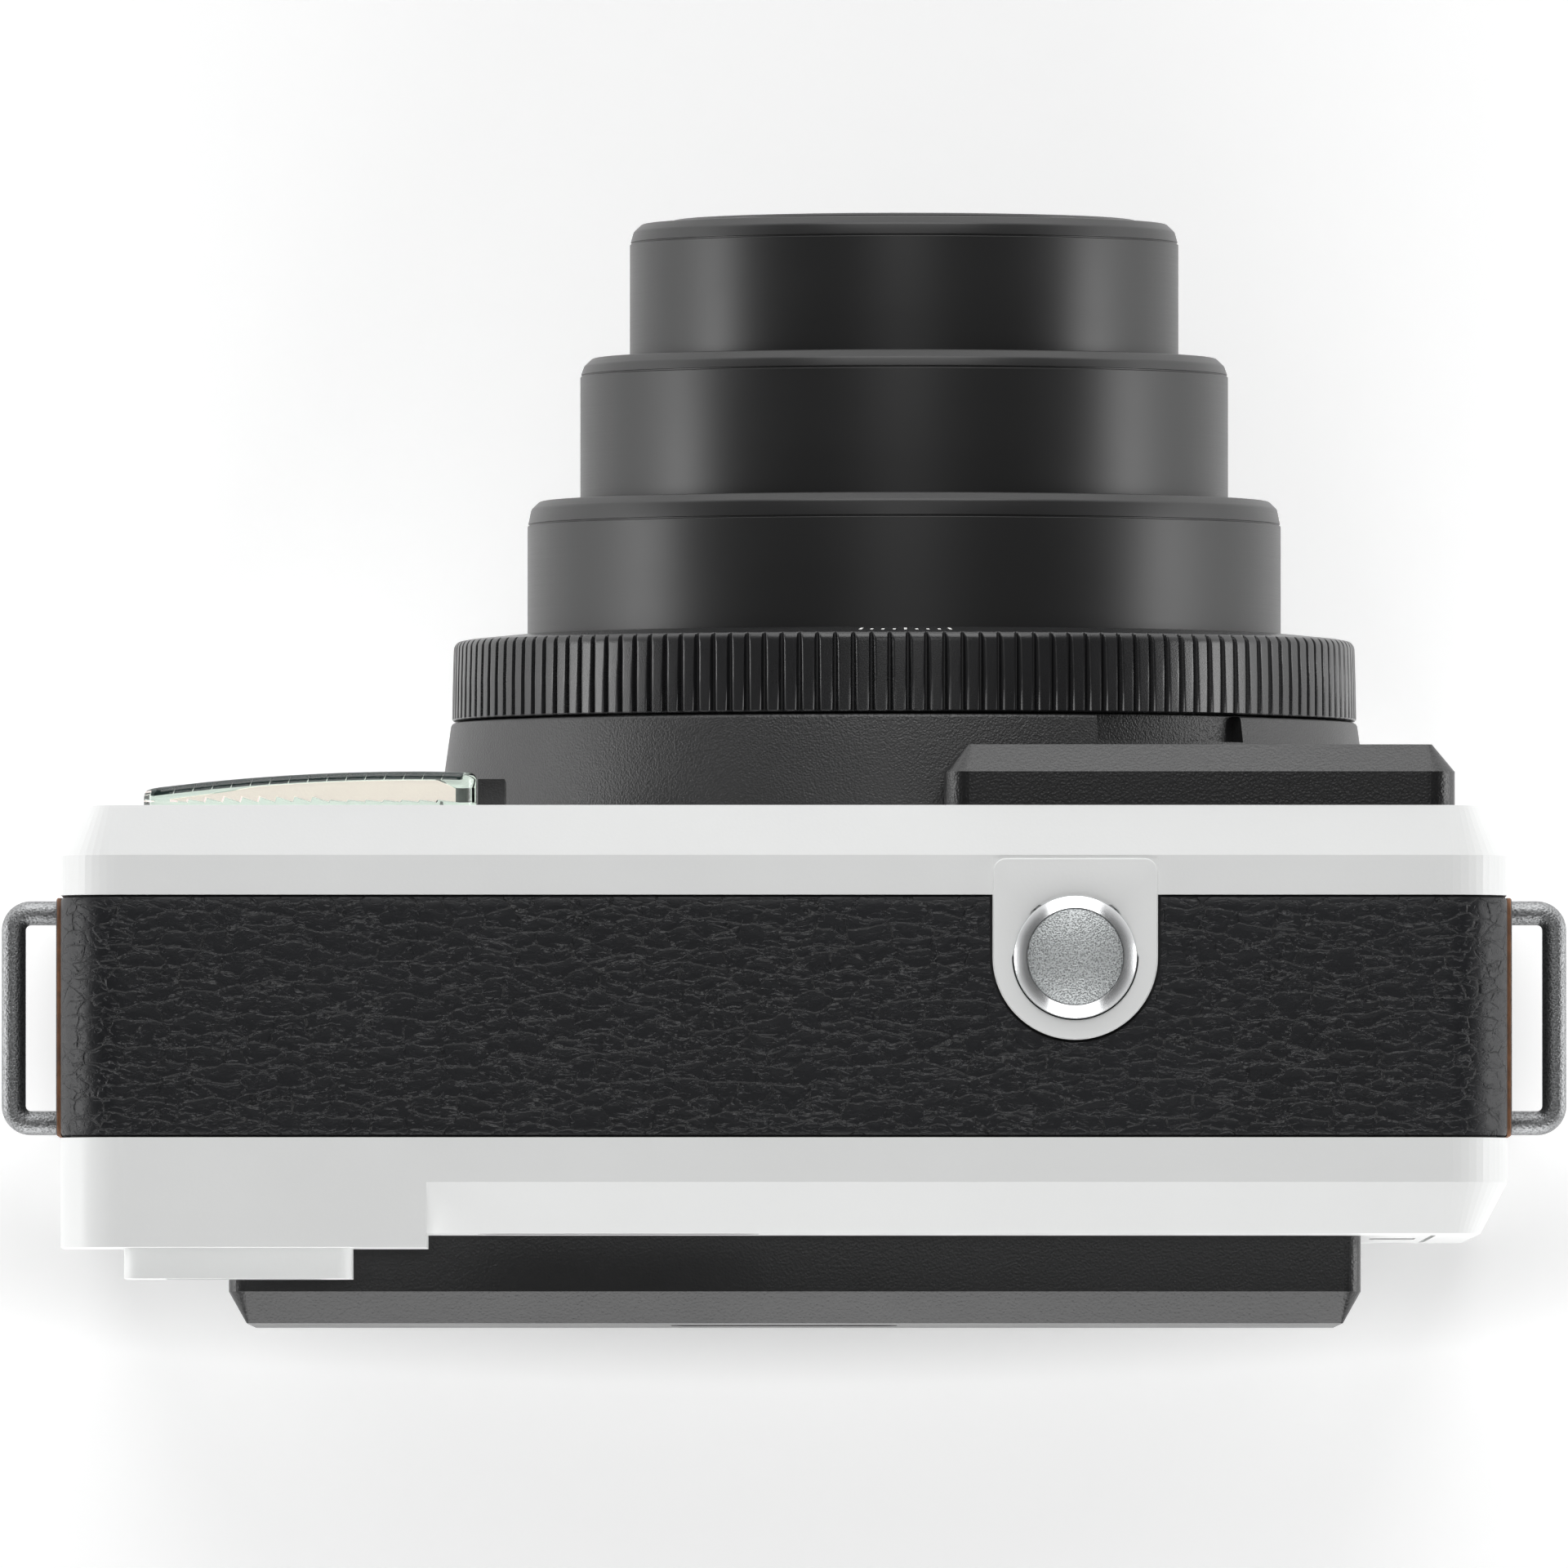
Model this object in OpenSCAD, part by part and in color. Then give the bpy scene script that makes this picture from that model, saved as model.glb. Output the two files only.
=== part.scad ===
// Instant camera with a three-stage telescoping lens.
// Frame: X to the right seen from the front, -Y the way the lens looks, Z up.
// Origin: centre of the tripod socket's mouth, on the underside.

/* [Body] */
// Width of the body without the strap lugs
body_w = 113.4; // [112:0.2:115]
// Height of the body without the release button
body_h = 93; // [92:0.2:94]
// Radius of the body's four long corners
corner_r = 5; // [4:0.5:6]
// Depth of the leather band between the two shells
band_d = 19; // [18.6:0.1:19.4]
// Depth of the front shell
front_d = 7.05; // [6.9:0.05:7.2]
// Depth of the rear shell
rear_d = 7.5; // [7.3:0.1:7.7]
// How far the shells' chamfers step in
chamfer_in = 2; // [1.5:0.1:2.2]

/* [Lens] */
// Lens axis, sideways from the centre of the body
lens_x = -9.57; // [-10:0.01:-9]
// Lens axis above the underside
lens_z = 41; // [40.5:0.1:41.5]
// Outer radius of the control ring
ring_r = 36; // [35.8:0.1:36.2]
// Number of ridges on the control ring
ridges = 156; // [120:2:180]
// Outer radius of the outer barrel
outer_r = 30; // [29.8:0.05:30]
// Outer radius of the middle barrel
middle_r = 25.8; // [25.6:0.05:25.8]
// Outer radius of the inner barrel
inner_r = 21.85; // [21.6:0.05:21.85]

/* [Film door] */
// Width of the raised door cover
cover_w = 89.3; // [86:0.1:90]
// Thickness of the raised door cover
cover_d = 6.9; // [6:0.1:8]

/* [Strap lugs] */
// Overall width over both lugs
lug_w = 123; // [122:0.2:124]
// Diameter of the lug's bar
lug_bar_d = 1.9; // [1.6:0.1:2]
// Height of the lugs above the underside
lug_z = 80; // [76:0.5:82]

/* [Hidden] */
$fn = 48;

// Stations along the depth, front to back
band_f = -band_d / 2;
band_b = band_d / 2;
face_f = band_f - front_d;
face_b = band_b + rear_d;
bevel_f = face_f + 3.95;
bevel_b = face_b - 4;
block_b = face_b + 1.1;
cover_b = face_b + cover_d;
half_w = body_w / 2;
wall = 2.2;
leather_t = 0.8;
frame_wall = 2;
gap = 0.1;
fit = 0.05;

// Where each station of the lens lies, measured forwards from the middle of the band
mount_back = 8;
mount_front = -face_f + 7.5;
neck_front = mount_front + 5.55;
ring_back = mount_front + 0.15;
outer_front = 41.7;
middle_front = 53.1;
inner_front = 63.8;
mount_bore = 32;
neck_r = 34.4;
flange_r = 37.1;

// Where the controls, the finder and the flash sit
release = [-22.8, -4.6];
release_r = 4.84;
bezel_r = 6.42;
bezel_front = -12.33;
bezel_top = body_h + 0.35;
front_release = [-48.5, 20];
front_release_r = 4.7;
finder_x = [36.5, 48.5];
finder_z = [74.6, 81];
flash_x = [24.1, 50.2];
flash_z = [81.5, 90.5];
mirror_x = [-52.6, -12.6];
mirror_z = [62, 90.6];
block_x = 28;
block_z = 73;
button_z = 82.5;
button_r = 3;
button_x = [-4, -13.5, -23, -32.5, -42];

// Film path
pack_x = [-52, 43.4];
pack_z = [lens_z - 30.3, lens_z + 30.3];
pack_y = [-2.9, 13.1];
film_plane = pack_y[0] + 1.3;
roller_r = 2.2;
roller_x = 48.6;
drive_y = film_plane - roller_r - 0.05;
pinch_y = film_plane + roller_r + 0.05;
roller_z = [13, 68.5];
gear_z = [69.7, 72.5];
tooth_m = 0.6;
drive_teeth = 14;
pinion_teeth = 12;
motor_r = 5;
motor_y = -8.2;
motor_x = roller_x - sqrt(pow((drive_teeth + pinion_teeth) * tooth_m / 2, 2) - pow(motor_y - drive_y, 2));

// Door
door_x = [-51, 50];
door_z = [9.5, 72.1];
door_y = face_b - 2;
hinge_x = 51.2;
hinge_y = 15.45;
cover_x = [-45.5, -45.5 + cover_w];
cover_z = [12, 70.4];
bay_x = [24.8, 51.6];
bay_y = [-14.6, -8];
bay_hinge = [-9.05, 1.05];
lug_r = lug_bar_d / 2;
lug_half = 9.2;
lug_bend = 1.35;
pad_t = 0.4;

// ---- general shapes ----

// Rounded rectangle between two corners, drawn with true circles
module plate2(x, z, r) {
    translate([x[0] + r, z[0]]) square([x[1] - x[0] - 2 * r, z[1] - z[0]]);
    translate([x[0], z[0] + r]) square([x[1] - x[0], z[1] - z[0] - 2 * r]);
    for (cx = [x[0] + r, x[1] - r], cz = [z[0] + r, z[1] - r])
        translate([cx, cz]) circle(r);
}

// Extrudes a drawing in X and Z from depth a to depth b
module slab(a, b) {
    translate([0, b, 0]) rotate([90, 0, 0]) linear_extrude(b - a) children();
}

module box(x, y, z) {
    translate([x[0], y[0], z[0]]) cube([x[1] - x[0], y[1] - y[0], z[1] - z[0]]);
}

// Turns a profile of [radius, distance forwards] round the lens axis
module on_lens() {
    translate([lens_x, 0, lens_z]) rotate([90, 0, 0]) children();
}

module turned(points) {
    on_lens() rotate_extrude() polygon(points);
}

// Round bar along the depth, from a to b, through [x, z]
module bar_y(at, r, a, b) {
    translate([at[0], b, at[1]]) rotate([90, 0, 0]) cylinder(r = r, h = b - a);
}

module bar_x(at, r, a, b) {
    translate([a, at[0], at[1]]) rotate([0, 90, 0]) cylinder(r = r, h = b - a);
}

// The body's outline, taken in by d
module body_outline(d) {
    plate2([-half_w + d, half_w - d], [d, body_h - d], corner_r - min(d, corner_r - 1));
}

// A block with rounded corners from depth a to depth b, whose end at b is
// chamfered from depth c on
module chamfered(x, z, r, a, c, b, inset) {
    thin = 0.01 * sign(b - c);
    hull() {
        slab(min(a, c), max(a, c)) plate2(x, z, r);
        slab(min(b, b - thin), max(b, b - thin))
            plate2([x[0] + inset, x[1] - inset], [z[0] + inset, z[1] - inset], max(r - inset, 0.2));
    }
}

// Involute gear drawing, with a tooth centred on +X
function roll(a) = (tan(a) - a * PI / 180) * 180 / PI;
function flank(r, base) = r > base ? roll(acos(base / r)) : 0;
module gear2(teeth) {
    pitch = teeth * tooth_m / 2;
    base = pitch * cos(20);
    tip = pitch + 0.8 * tooth_m;
    root = pitch - 1.1 * tooth_m;
    slack = 0.06 / pitch * 180 / PI;
    half = 90 / teeth - slack;
    steps = [root, max(base, root + 0.05), pitch, pitch + 0.45 * tooth_m, tip];
    function side(r) = half + flank(pitch, base) - flank(r, base);
    polygon([for (k = [0:teeth - 1]) for (s = [-1, 1])
        for (i = [0:4]) let (r = steps[s < 0 ? i : 4 - i], a = k * 360 / teeth + s * side(r))
            [r * cos(a), r * sin(a)]]);
}

// Coil spring standing on z = 0, as one swept tube
module coil(r, wire, h, turns) {
    sides = 6;
    rings = turns * 10;
    pts = [for (i = [0:rings]) for (j = [0:sides - 1])
        let (a = i * 36, b = j * 360 / sides, q = r + wire * cos(b))
            [q * cos(a), q * sin(a), wire + (h - 2 * wire) * i / rings + wire * sin(b)]];
    skin = [for (i = [0:rings - 1]) for (j = [0:sides - 1])
        let (k = (j + 1) % sides)
            [i * sides + j, i * sides + k, (i + 1) * sides + k, (i + 1) * sides + j]];
    polyhedron(pts, concat([[for (j = [sides - 1:-1:0]) j]],
        [[for (j = [0:sides - 1]) rings * sides + j]], skin));
}

// ---- casing ----

module front_shell() {
    color("whitesmoke") difference() {
        union() {
            chamfered([-half_w, half_w], [0, body_h], corner_r, band_f, bevel_f, face_f, chamfer_in);
            bar_y(front_release, 6.4, face_f - 0.4, face_f + 1);
        }
        slab(face_f + 2.15, band_f + 1) body_outline(wall);
        bar_y([lens_x, lens_z], neck_r + gap, face_f - 1, band_f);
        bar_y(front_release, front_release_r + gap, face_f - 1, band_f);
        box([flash_x[0] + 1.2, flash_x[1] - 1.2], [face_f - 1, band_f], [flash_z[0] + 0.8, flash_z[1] - 0.8]);
        box(finder_x, [face_f - 1, band_f], finder_z);
        box([release[0] - bezel_r - fit, release[0] + bezel_r + fit], [bezel_front - fit, band_f + 1],
            [body_h - leather_t, body_h + 1]);
        box([release[0] - bezel_r, release[0] + bezel_r], [band_f - 1, band_f + 1], [body_h - 4, body_h]);
        box([bay_x[0] - 0.3, bay_x[1] + 0.3], [bay_y[0] - 0.35, band_f + 1], [-1, wall + 1]);
    }
}

module rear_shell() {
    color("whitesmoke") {
        difference() {
            union() {
                chamfered([-half_w, half_w], [0, body_h], corner_r, band_b, bevel_b, face_b, 2.1);
                slab(band_b, block_b) intersection() {
                    body_outline(0);
                    plate2([block_x, half_w + 5], [block_z, body_h + 5], 1);
                }
            }
            slab(band_b - 1, face_b - 2.2) body_outline(wall);
            box([block_x + wall, half_w - wall], [band_b - 1, block_b - 2.2], [block_z + 0.7, body_h - wall]);
            slab(band_b, face_b + 2) plate2([door_x[0] - 0.4, hinge_x + 1.9], [door_z[0] - 0.3, door_z[1] + 0.3], 0.6);
            box([finder_x[0] + 1, finder_x[1] - 1], [band_b, block_b + 1], [finder_z[0] + 0.6, finder_z[1] - 0.6]);
            slab(band_b, face_b + 1) plate2([2, 24], [77, 88], 1);
            for (x = button_x) bar_y([x, button_z], button_r + gap, band_b, face_b + 1);
            for (x = [-49, 49]) bar_y([x, 4.9], 1.75, face_b - 1.2, face_b + 1);
            for (x = [-49, 49]) bar_y([x, 4.9], 0.85, band_b, face_b);
        }
        difference() {
            union() {
                translate([hinge_x, hinge_y, 26.3]) cylinder(r = 1.5, h = 28.4);
                box([hinge_x, hinge_x + 2.2], [14.8, 16.4], [26.3, 54.7]);
            }
            translate([hinge_x, hinge_y, 20]) cylinder(r = 0.62, h = 40);
        }
    }
}

// Outline of the leather's cut-out and of the bezel that fills it
module bezel_outline(r) {
    translate([release[0], release[1]]) {
        circle(r);
        translate([-r, bezel_front - release[1]]) square([2 * r, release[1] - bezel_front]);
    }
}

module bay_cut() {
    box([bay_x[0] - 0.1, bay_x[1] + 0.1], [band_f - 1, bay_y[1] + 0.1], [-1, frame_wall + 2]);
}

module mid_frame() {
    inner = leather_t + frame_wall;
    color("dimgray") difference() {
        union() {
            slab(band_f, band_b) difference() {
                body_outline(leather_t);
                body_outline(inner);
            }
            box([-half_w + inner, 43.6], [pack_y[0], band_b], [pack_z[1] + 0.2, pack_z[1] + 1.2]);
            box([-half_w + inner, 43.6], [pack_y[0], band_b], [pack_z[0] - 1.2, pack_z[0] - 0.2]);
            box([release[0] - 6, release[0] + 6], [band_f, 0], [84.6, 86.4]);
            for (x = [release[0] - 7.5, release[0] + 6]) box([x, x + 1.5], [band_f, 0], [84.6, body_h - 2]);
        }
        bay_cut();
        translate([0, 0, -1]) cylinder(r = 4.5, h = 5);
        translate([release[0], release[1], body_h - 5]) cylinder(r = release_r + gap, h = 6);
        translate([release[0], release[1], 80]) cylinder(r = 1.7, h = 8);
        box([40, 60], [film_plane - 1, film_plane + 1], [13.5, 68.5]);
    }
}

module leather_wrap() {
    color([0.09, 0.09, 0.1]) difference() {
        slab(band_f, band_b) difference() {
            body_outline(0);
            body_outline(leather_t);
        }
        translate([0, 0, body_h - 3]) linear_extrude(5) bezel_outline(bezel_r + 0.28);
        bay_cut();
        translate([0, 0, -1]) cylinder(r = 4.5, h = 5);
        box([50, 60], [film_plane - 1.8, film_plane + 1.8], [12.5, 69.5]);
        for (y = [-1, 1]) bar_x([y * (lug_half - lug_r), lug_z], lug_r + fit, -60, 60);
    }
}

// Thick side patch of leather that carries the strap lug
module side_pad(side) {
    color([0.12, 0.09, 0.08]) difference() {
        translate([side > 0 ? half_w : -half_w - pad_t, 0, 0]) rotate([90, 0, 90])
            linear_extrude(pad_t) plate2([band_f + 0.05, band_b - 0.05], [8, 87], 1.2);
        for (y = [-1, 1]) bar_x([y * (lug_half - lug_r), lug_z], lug_r + fit, -60, 60);
        if (side > 0) box([50, 60], [film_plane - 1.8, film_plane + 1.8], [12.5, 69.5]);
    }
}

// Bent round bar that a strap goes round
module strap_lug(side) {
    bar_at = lug_w / 2 - lug_r;
    arm_y = lug_half - lug_r;
    color("silver") mirror([side > 0 ? 0 : 1, 0, 0]) translate([0, 0, lug_z]) {
        for (y = [-1, 1]) bar_x([y * arm_y, 0], lug_r, half_w - leather_t, bar_at - lug_bend);
        translate([bar_at, arm_y - lug_bend, 0]) rotate([90, 0, 0]) cylinder(r = lug_r, h = 2 * (arm_y - lug_bend));
        translate([bar_at - lug_bend, arm_y - lug_bend, 0]) rotate_extrude(angle = 90)
            translate([lug_bend, 0]) circle(lug_r);
        translate([bar_at - lug_bend, lug_bend - arm_y, 0]) rotate([0, 0, -90]) rotate_extrude(angle = 90)
            translate([lug_bend, 0]) circle(lug_r);
    }
}

module shutter_bezel() {
    color("white") difference() {
        translate([0, 0, body_h - leather_t]) linear_extrude(bezel_top - body_h + leather_t) bezel_outline(bezel_r);
        translate([release[0], release[1], 0]) cylinder(r = release_r + gap, h = body_h + 5);
    }
}

module exit_slot_bezel() {
    color([0.1, 0.1, 0.1]) difference() {
        box([half_w - leather_t, half_w + pad_t - 0.02], [film_plane - 1.75, film_plane + 1.75], [12.55, 69.45]);
        box([50, 60], [film_plane - 0.8, film_plane + 0.8], [14, 68]);
    }
}

module case_screws() {
    color("silver") for (x = [-49, 49]) difference() {
        union() {
            bar_y([x, 4.9], 1.7, face_b - 1.15, face_b - 0.1);
            bar_y([x, 4.9], 0.8, band_b + 0.5, face_b - 1.15);
        }
        box([x - 1.2, x + 1.2], [face_b - 0.6, face_b + 1], [4.7, 5.1]);
        box([x - 0.2, x + 0.2], [face_b - 0.6, face_b + 1], [3.7, 6.1]);
    }
}

module tripod_socket() {
    color("silver") difference() {
        union() {
            cylinder(r = 4.45, h = 7.5);
            translate([0, 0, leather_t + frame_wall]) cylinder(r = 6.5, h = 1.6);
        }
        translate([0, 0, -1]) cylinder(r = 2.6, h = 7.5);
    }
}

module battery() {
    color([0.25, 0.27, 0.3]) {
        box([bay_x[0] + 0.4, bay_x[1] - 0.4], [bay_y[0] + 0.4, bay_y[1] - 0.5], [4.6, 44.4]);
        for (x = [30, 35, 40]) box([x, x + 2.4], [-12.6, -10.4], [44.4, 44.7]);
    }
}

module battery_door() {
    color("whitesmoke") {
        difference() {
            intersection() {
                chamfered([-half_w, half_w], [0, body_h], corner_r, band_b, bevel_f, face_f, chamfer_in);
                box(bay_x, [bay_y[0], bay_hinge[0]], [0, 2.1]);
            }
            box([bay_x[0] + 1, bay_x[1] - 1], [bay_y[0] + 1, bay_hinge[0] - 1.5], [1.6, 3]);
        }
        bar_x(bay_hinge, 1, bay_x[0], bay_x[1]);
    }
}

// ---- front fittings ----

module mirror_housing() {
    color([0.13, 0.13, 0.14]) difference() {
        chamfered(mirror_x, mirror_z, 2.2, face_f, face_f - 2.65, face_f - 4.8, 1.8);
        bar_y([lens_x, lens_z], flange_r + 0.6, -40, 0);
        bar_y([-42, 77], 7.1, face_f - 6, face_f - 4);
        bar_y([-27, 83.5], 1.9, face_f - 6, face_f - 3);
    }
}

module selfie_mirror() {
    color("lightgray") intersection() {
        bar_y([-42, 77], 7, face_f - 4.7, face_f - 4);
        translate([-42, face_f - 4.7 + 80, 77]) sphere(r = 80);
    }
}

module timer_lamp() {
    color([0.7, 0.1, 0.08]) intersection() {
        bar_y([-27, 83.5], 1.85, face_f - 4.9, face_f - 3);
        translate([-27, face_f - 4.9 + 3.2, 83.5]) sphere(r = 3.2);
    }
}

module exposure_meter() {
    color([0.13, 0.13, 0.14]) difference() {
        box([21.9, 24], [face_f - 2.1, face_f], [72, 88]);
        bar_y([22.95, 84], 0.7, face_f - 3, face_f - 1.4);
        bar_y([22.95, 80], 0.7, face_f - 3, face_f - 1.4);
    }
}

// Clear flash cover: bowed across its width, highest nearer the lens
module flash_window() {
    peak = 2.65;
    bow = 160;
    color([0.8, 0.9, 0.84, 0.5]) difference() {
        intersection() {
            slab(face_f - peak - 1, face_f) plate2(flash_x, flash_z, 1.6);
            translate([29, face_f - peak + bow, 60]) cylinder(r = bow, h = 60, $fn = 256);
        }
        box([flash_x[0] + 1.3, flash_x[1] - 1.3], [face_f - 1, face_f + 1], [flash_z[0] + 1, flash_z[1] - 1]);
    }
}

module flash_reflector() {
    color("silver") difference() {
        box([28, 46.5], [-15.4, -8], [82.4, 89.6]);
        bar_x([-12, 86], 3.1, 28.6, 45.9);
        box([28.6, 45.9], [-16, -12], [82.9, 89.1]);
        bar_x([-11, 86], 1.3, 27, 47);
    }
}

module flash_tube() {
    color([0.9, 0.92, 0.95, 0.5]) bar_x([-11, 86], 1.2, 26.6, 47.9);
}

module flash_capacitor() {
    color([0.1, 0.12, 0.2]) translate([-49.4, -9.6, 46]) {
        cylinder(r = 4.2, h = 31);
        translate([0, 0, 31]) cylinder(r = 3.4, h = 0.6);
        for (x = [-1.2, 1.2]) translate([x, 0, -2.5]) cylinder(r = 0.3, h = 2.5);
    }
}

module finder_window() {
    color([0.8, 0.88, 0.9, 0.5])
        box([finder_x[0] + fit, finder_x[1] - fit], [face_f + 0.3, face_f + 1.7], [finder_z[0] + fit, finder_z[1] - fit]);
}

module finder_tube() {
    color([0.12, 0.12, 0.12]) difference() {
        box(finder_x, [face_f + 2.2, block_b - 2.25], finder_z);
        box([finder_x[0] + 0.8, finder_x[1] - 0.8], [-30, 30], [finder_z[0] + 0.8, finder_z[1] - 0.8]);
    }
}

module eyepiece_frame() {
    color("white") difference() {
        slab(block_b, block_b + 2.4) plate2([33.9, 51.8], [73.6, 85.4], 1.2);
        box([37.4, 47.6], [block_b - 1, block_b + 1.3], [75.1, 80.5]);
        box([36.4, 48.6], [block_b + 1.2, block_b + 3], [74.4, 82.4]);
    }
}

module eyepiece_lens() {
    color([0.6, 0.68, 0.75, 0.5])
        box([36.45, 48.55], [block_b + 1.25, block_b + 1.9], [74.45, 82.35]);
}

// ---- lens ----

module lens_mount() {
    notch_from = 24.7;
    notch_angle = 22.6;
    color([0.15, 0.15, 0.16]) difference() {
        turned([[mount_bore, mount_back], [neck_r, mount_back], [neck_r, -face_f], [flange_r, -face_f],
            [ring_r, mount_front], [32.5, mount_front], [32.5, neck_front], [outer_r + fit, neck_front],
            [outer_r + fit, mount_front + 0.25], [mount_bore, mount_front + 0.25]]);
        on_lens() rotate([0, 0, 90 + notch_from]) rotate_extrude(angle = notch_angle)
            translate([35.1, mount_front - 3.6]) square([4, 5]);
    }
}

// Ring of ridges round the control ring, as a drawing
module ridge_ring2() {
    step = 360 / ridges;
    difference() {
        polygon([for (k = [0:ridges - 1]) for (p = [[-0.34, 35.6], [-0.24, ring_r], [0.24, ring_r], [0.34, 35.6]])
            [p[1] * cos((k + p[0]) * step), p[1] * sin((k + p[0]) * step)]]);
        circle(34, $fn = 96);
    }
}

module control_ring() {
    front = mount_front + 6.95;
    color([0.1, 0.1, 0.11]) {
        turned([[32.55, ring_back], [35.5, ring_back], [35.5, front - 0.8], [34.9, front - 0.5],
            [31.2, front], [30.5, front], [30.5, neck_front + 0.15], [32.55, neck_front + 0.15]]);
        on_lens() translate([0, 0, ring_back + 0.1]) linear_extrude(front - 0.9 - ring_back) ridge_ring2();
    }
}

// One telescoping tube: body radius r, tail flange radius f, inside radius i, front opening radius o
module barrel(r, f, i, o, tail, flange, front) {
    rim = 1.6;
    color([0.12, 0.12, 0.13]) turned([[i, tail], [f, tail], [f, tail + flange], [r, tail + flange],
        [r, front - 1.8], [r - 0.35, front - 0.45], [r - 0.8, front], [o, front],
        [o, front - rim], [i, front - rim]]);
}

module barrel_outer() barrel(outer_r, mount_bore - gap, 28.4, middle_r + gap, 20.2, 3.8, outer_front);

module barrel_middle() barrel(middle_r, 28.3, 24.2, inner_r + gap, 37, 2.9, middle_front);

module barrel_inner() barrel(inner_r, 24.1, 20.2, 18.6, 49, 2.4, inner_front);

module lens_trim_ring() {
    color([0.08, 0.08, 0.08]) turned([[11.3, 60], [18.55, 60], [18.55, 64.1], [17.7, 64.1], [16.9, 63.3],
        [11.3, 61.3]]);
}

module front_element() {
    color([0.5, 0.6, 0.8, 0.5]) on_lens() intersection() {
        translate([0, 0, 57.2]) cylinder(r = 11.25, h = 6);
        translate([0, 0, 61.6 - 26]) sphere(r = 26, $fn = 128);
    }
}

module lens_cell() {
    color([0.1, 0.1, 0.1]) turned([[8, 49.2], [20.1, 49.2], [20.1, 60], [11.3, 60], [11.3, 53.4], [8, 53.4]]);
}

module shutter_plate() {
    color("dimgray") on_lens() {
        translate([0, 0, 55.6]) difference() {
            cylinder(r = 11.25, h = 0.8);
            translate([0, 0, -1]) cylinder(r = 2.4, h = 3);
        }
        translate([7.5, 0, 54.2]) cylinder(r = 0.6, h = 1.4);
    }
}

module shutter_blade() {
    color([0.2, 0.2, 0.2]) on_lens() translate([0, 0, 54.6]) difference() {
        linear_extrude(0.5) {
            circle(3.4);
            translate([7.5, 0]) circle(1.6);
            translate([0, -1.1]) square([7.5, 2.2]);
        }
        translate([7.5, 0, -1]) cylinder(r = 0.66, h = 3);
    }
}

// ---- controls ----

// A round push button: bevelled edge round a slightly sunk disc, with its base on z = 0
module push_button(r, h) {
    rotate_extrude() polygon([[0, 0], [r, 0], [r, h - 0.4], [r - 1.04, h], [r - 1.1, h - 0.08], [0, h - 0.08]]);
}

module release_button() {
    color("silver") translate([release[0], release[1], 0]) {
        translate([0, 0, 91]) push_button(release_r, 3.2);
        translate([0, 0, 85]) cylinder(r = 1.5, h = 6);
    }
}

module release_spring() {
    color("silver") translate([release[0], release[1], 86.45]) coil(2.3, 0.22, 4.5, 4);
}

module front_button() {
    color("silver") translate([front_release[0], 0, front_release[1]]) rotate([90, 0, 0]) {
        translate([0, 0, 14.2]) push_button(front_release_r, 4);
        translate([0, 0, 12.8]) cylinder(r = 5.5, h = 1.4);
    }
}

module rear_button(i) {
    color("whitesmoke") translate([button_x[i], 0, button_z]) rotate([-90, 0, 0]) {
        translate([0, 0, 13.2]) cylinder(r = 3.6, h = 1.4);
        translate([0, 0, 14.6]) difference() {
            cylinder(r = button_r, h = face_b - 14.6);
            translate([0, 0, face_b - 14.6 + 11.8]) sphere(r = 12, $fn = 96);
        }
    }
}

module lcd_window() {
    color([0.1, 0.12, 0.12]) {
        slab(face_b - 1.6, face_b - 0.1) plate2([2 + fit, 24 - fit], [77 + fit, 88 - fit], 0.95);
        box([3, 23], [12.6, face_b - 1.6], [78, 87]);
    }
}

module circuit_board() {
    color("darkgreen") {
        box([-52, 30], [10.6, 11.8], [73.8, 89.8]);
        for (x = button_x) bar_y([x, button_z], 1.6, 11.8, 12.7);
        box([-2, 0.4], [9.6, 10.6], [76, 86]);
        box([6, 16], [9.2, 10.6], [77, 87]);
        box([-24, -14], [9.4, 10.6], [77, 85]);
    }
}

// ---- film ----

module light_baffle() {
    color([0.08, 0.08, 0.08]) difference() {
        bar_y([lens_x, lens_z], 33.8, -mount_back, -3);
        intersection() {
            bar_y([lens_x, lens_z], 32, -20, 0);
            box([lens_x - 30.5, lens_x + 30.5], [-20, 0], [lens_z - 22.5, lens_z + 22.5]);
        }
    }
}

module film_pack() {
    color([0.12, 0.12, 0.13]) difference() {
        box(pack_x, pack_y, pack_z);
        box([pack_x[0] + 1.4, pack_x[1] - 1.4], [pack_y[0] + 0.9, pack_y[1] - 1.2], [pack_z[0] + 1.4, pack_z[1] - 1.4]);
        box([lens_x - 31, lens_x + 31], [pack_y[0] - 1, 0], [lens_z - 23, lens_z + 23]);
        box([40, 50], [pack_y[0] + 0.9, pack_y[0] + 1.7], [lens_z - 27.4, lens_z + 27.4]);
    }
}

module film_sheets() {
    color("ivory") box([-47.6, 38.4], [pack_y[0] + 0.9, 3.2], [lens_z - 27, lens_z + 27]);
}

module roller_frame() {
    color("silver") difference() {
        union() {
            box([44.4, 53.6], [-8.2, 3.4], [9, 12.6]);
            box([44.4, 53.6], [-8.2, 3.4], [68.8, 69.5]);
            box([52.4, 53.6], [-8.2, -5.2], [12.6, 68.8]);
        }
        for (y = [drive_y, pinch_y]) translate([roller_x, y, 0]) cylinder(r = 0.95, h = 80);
    }
}

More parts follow.
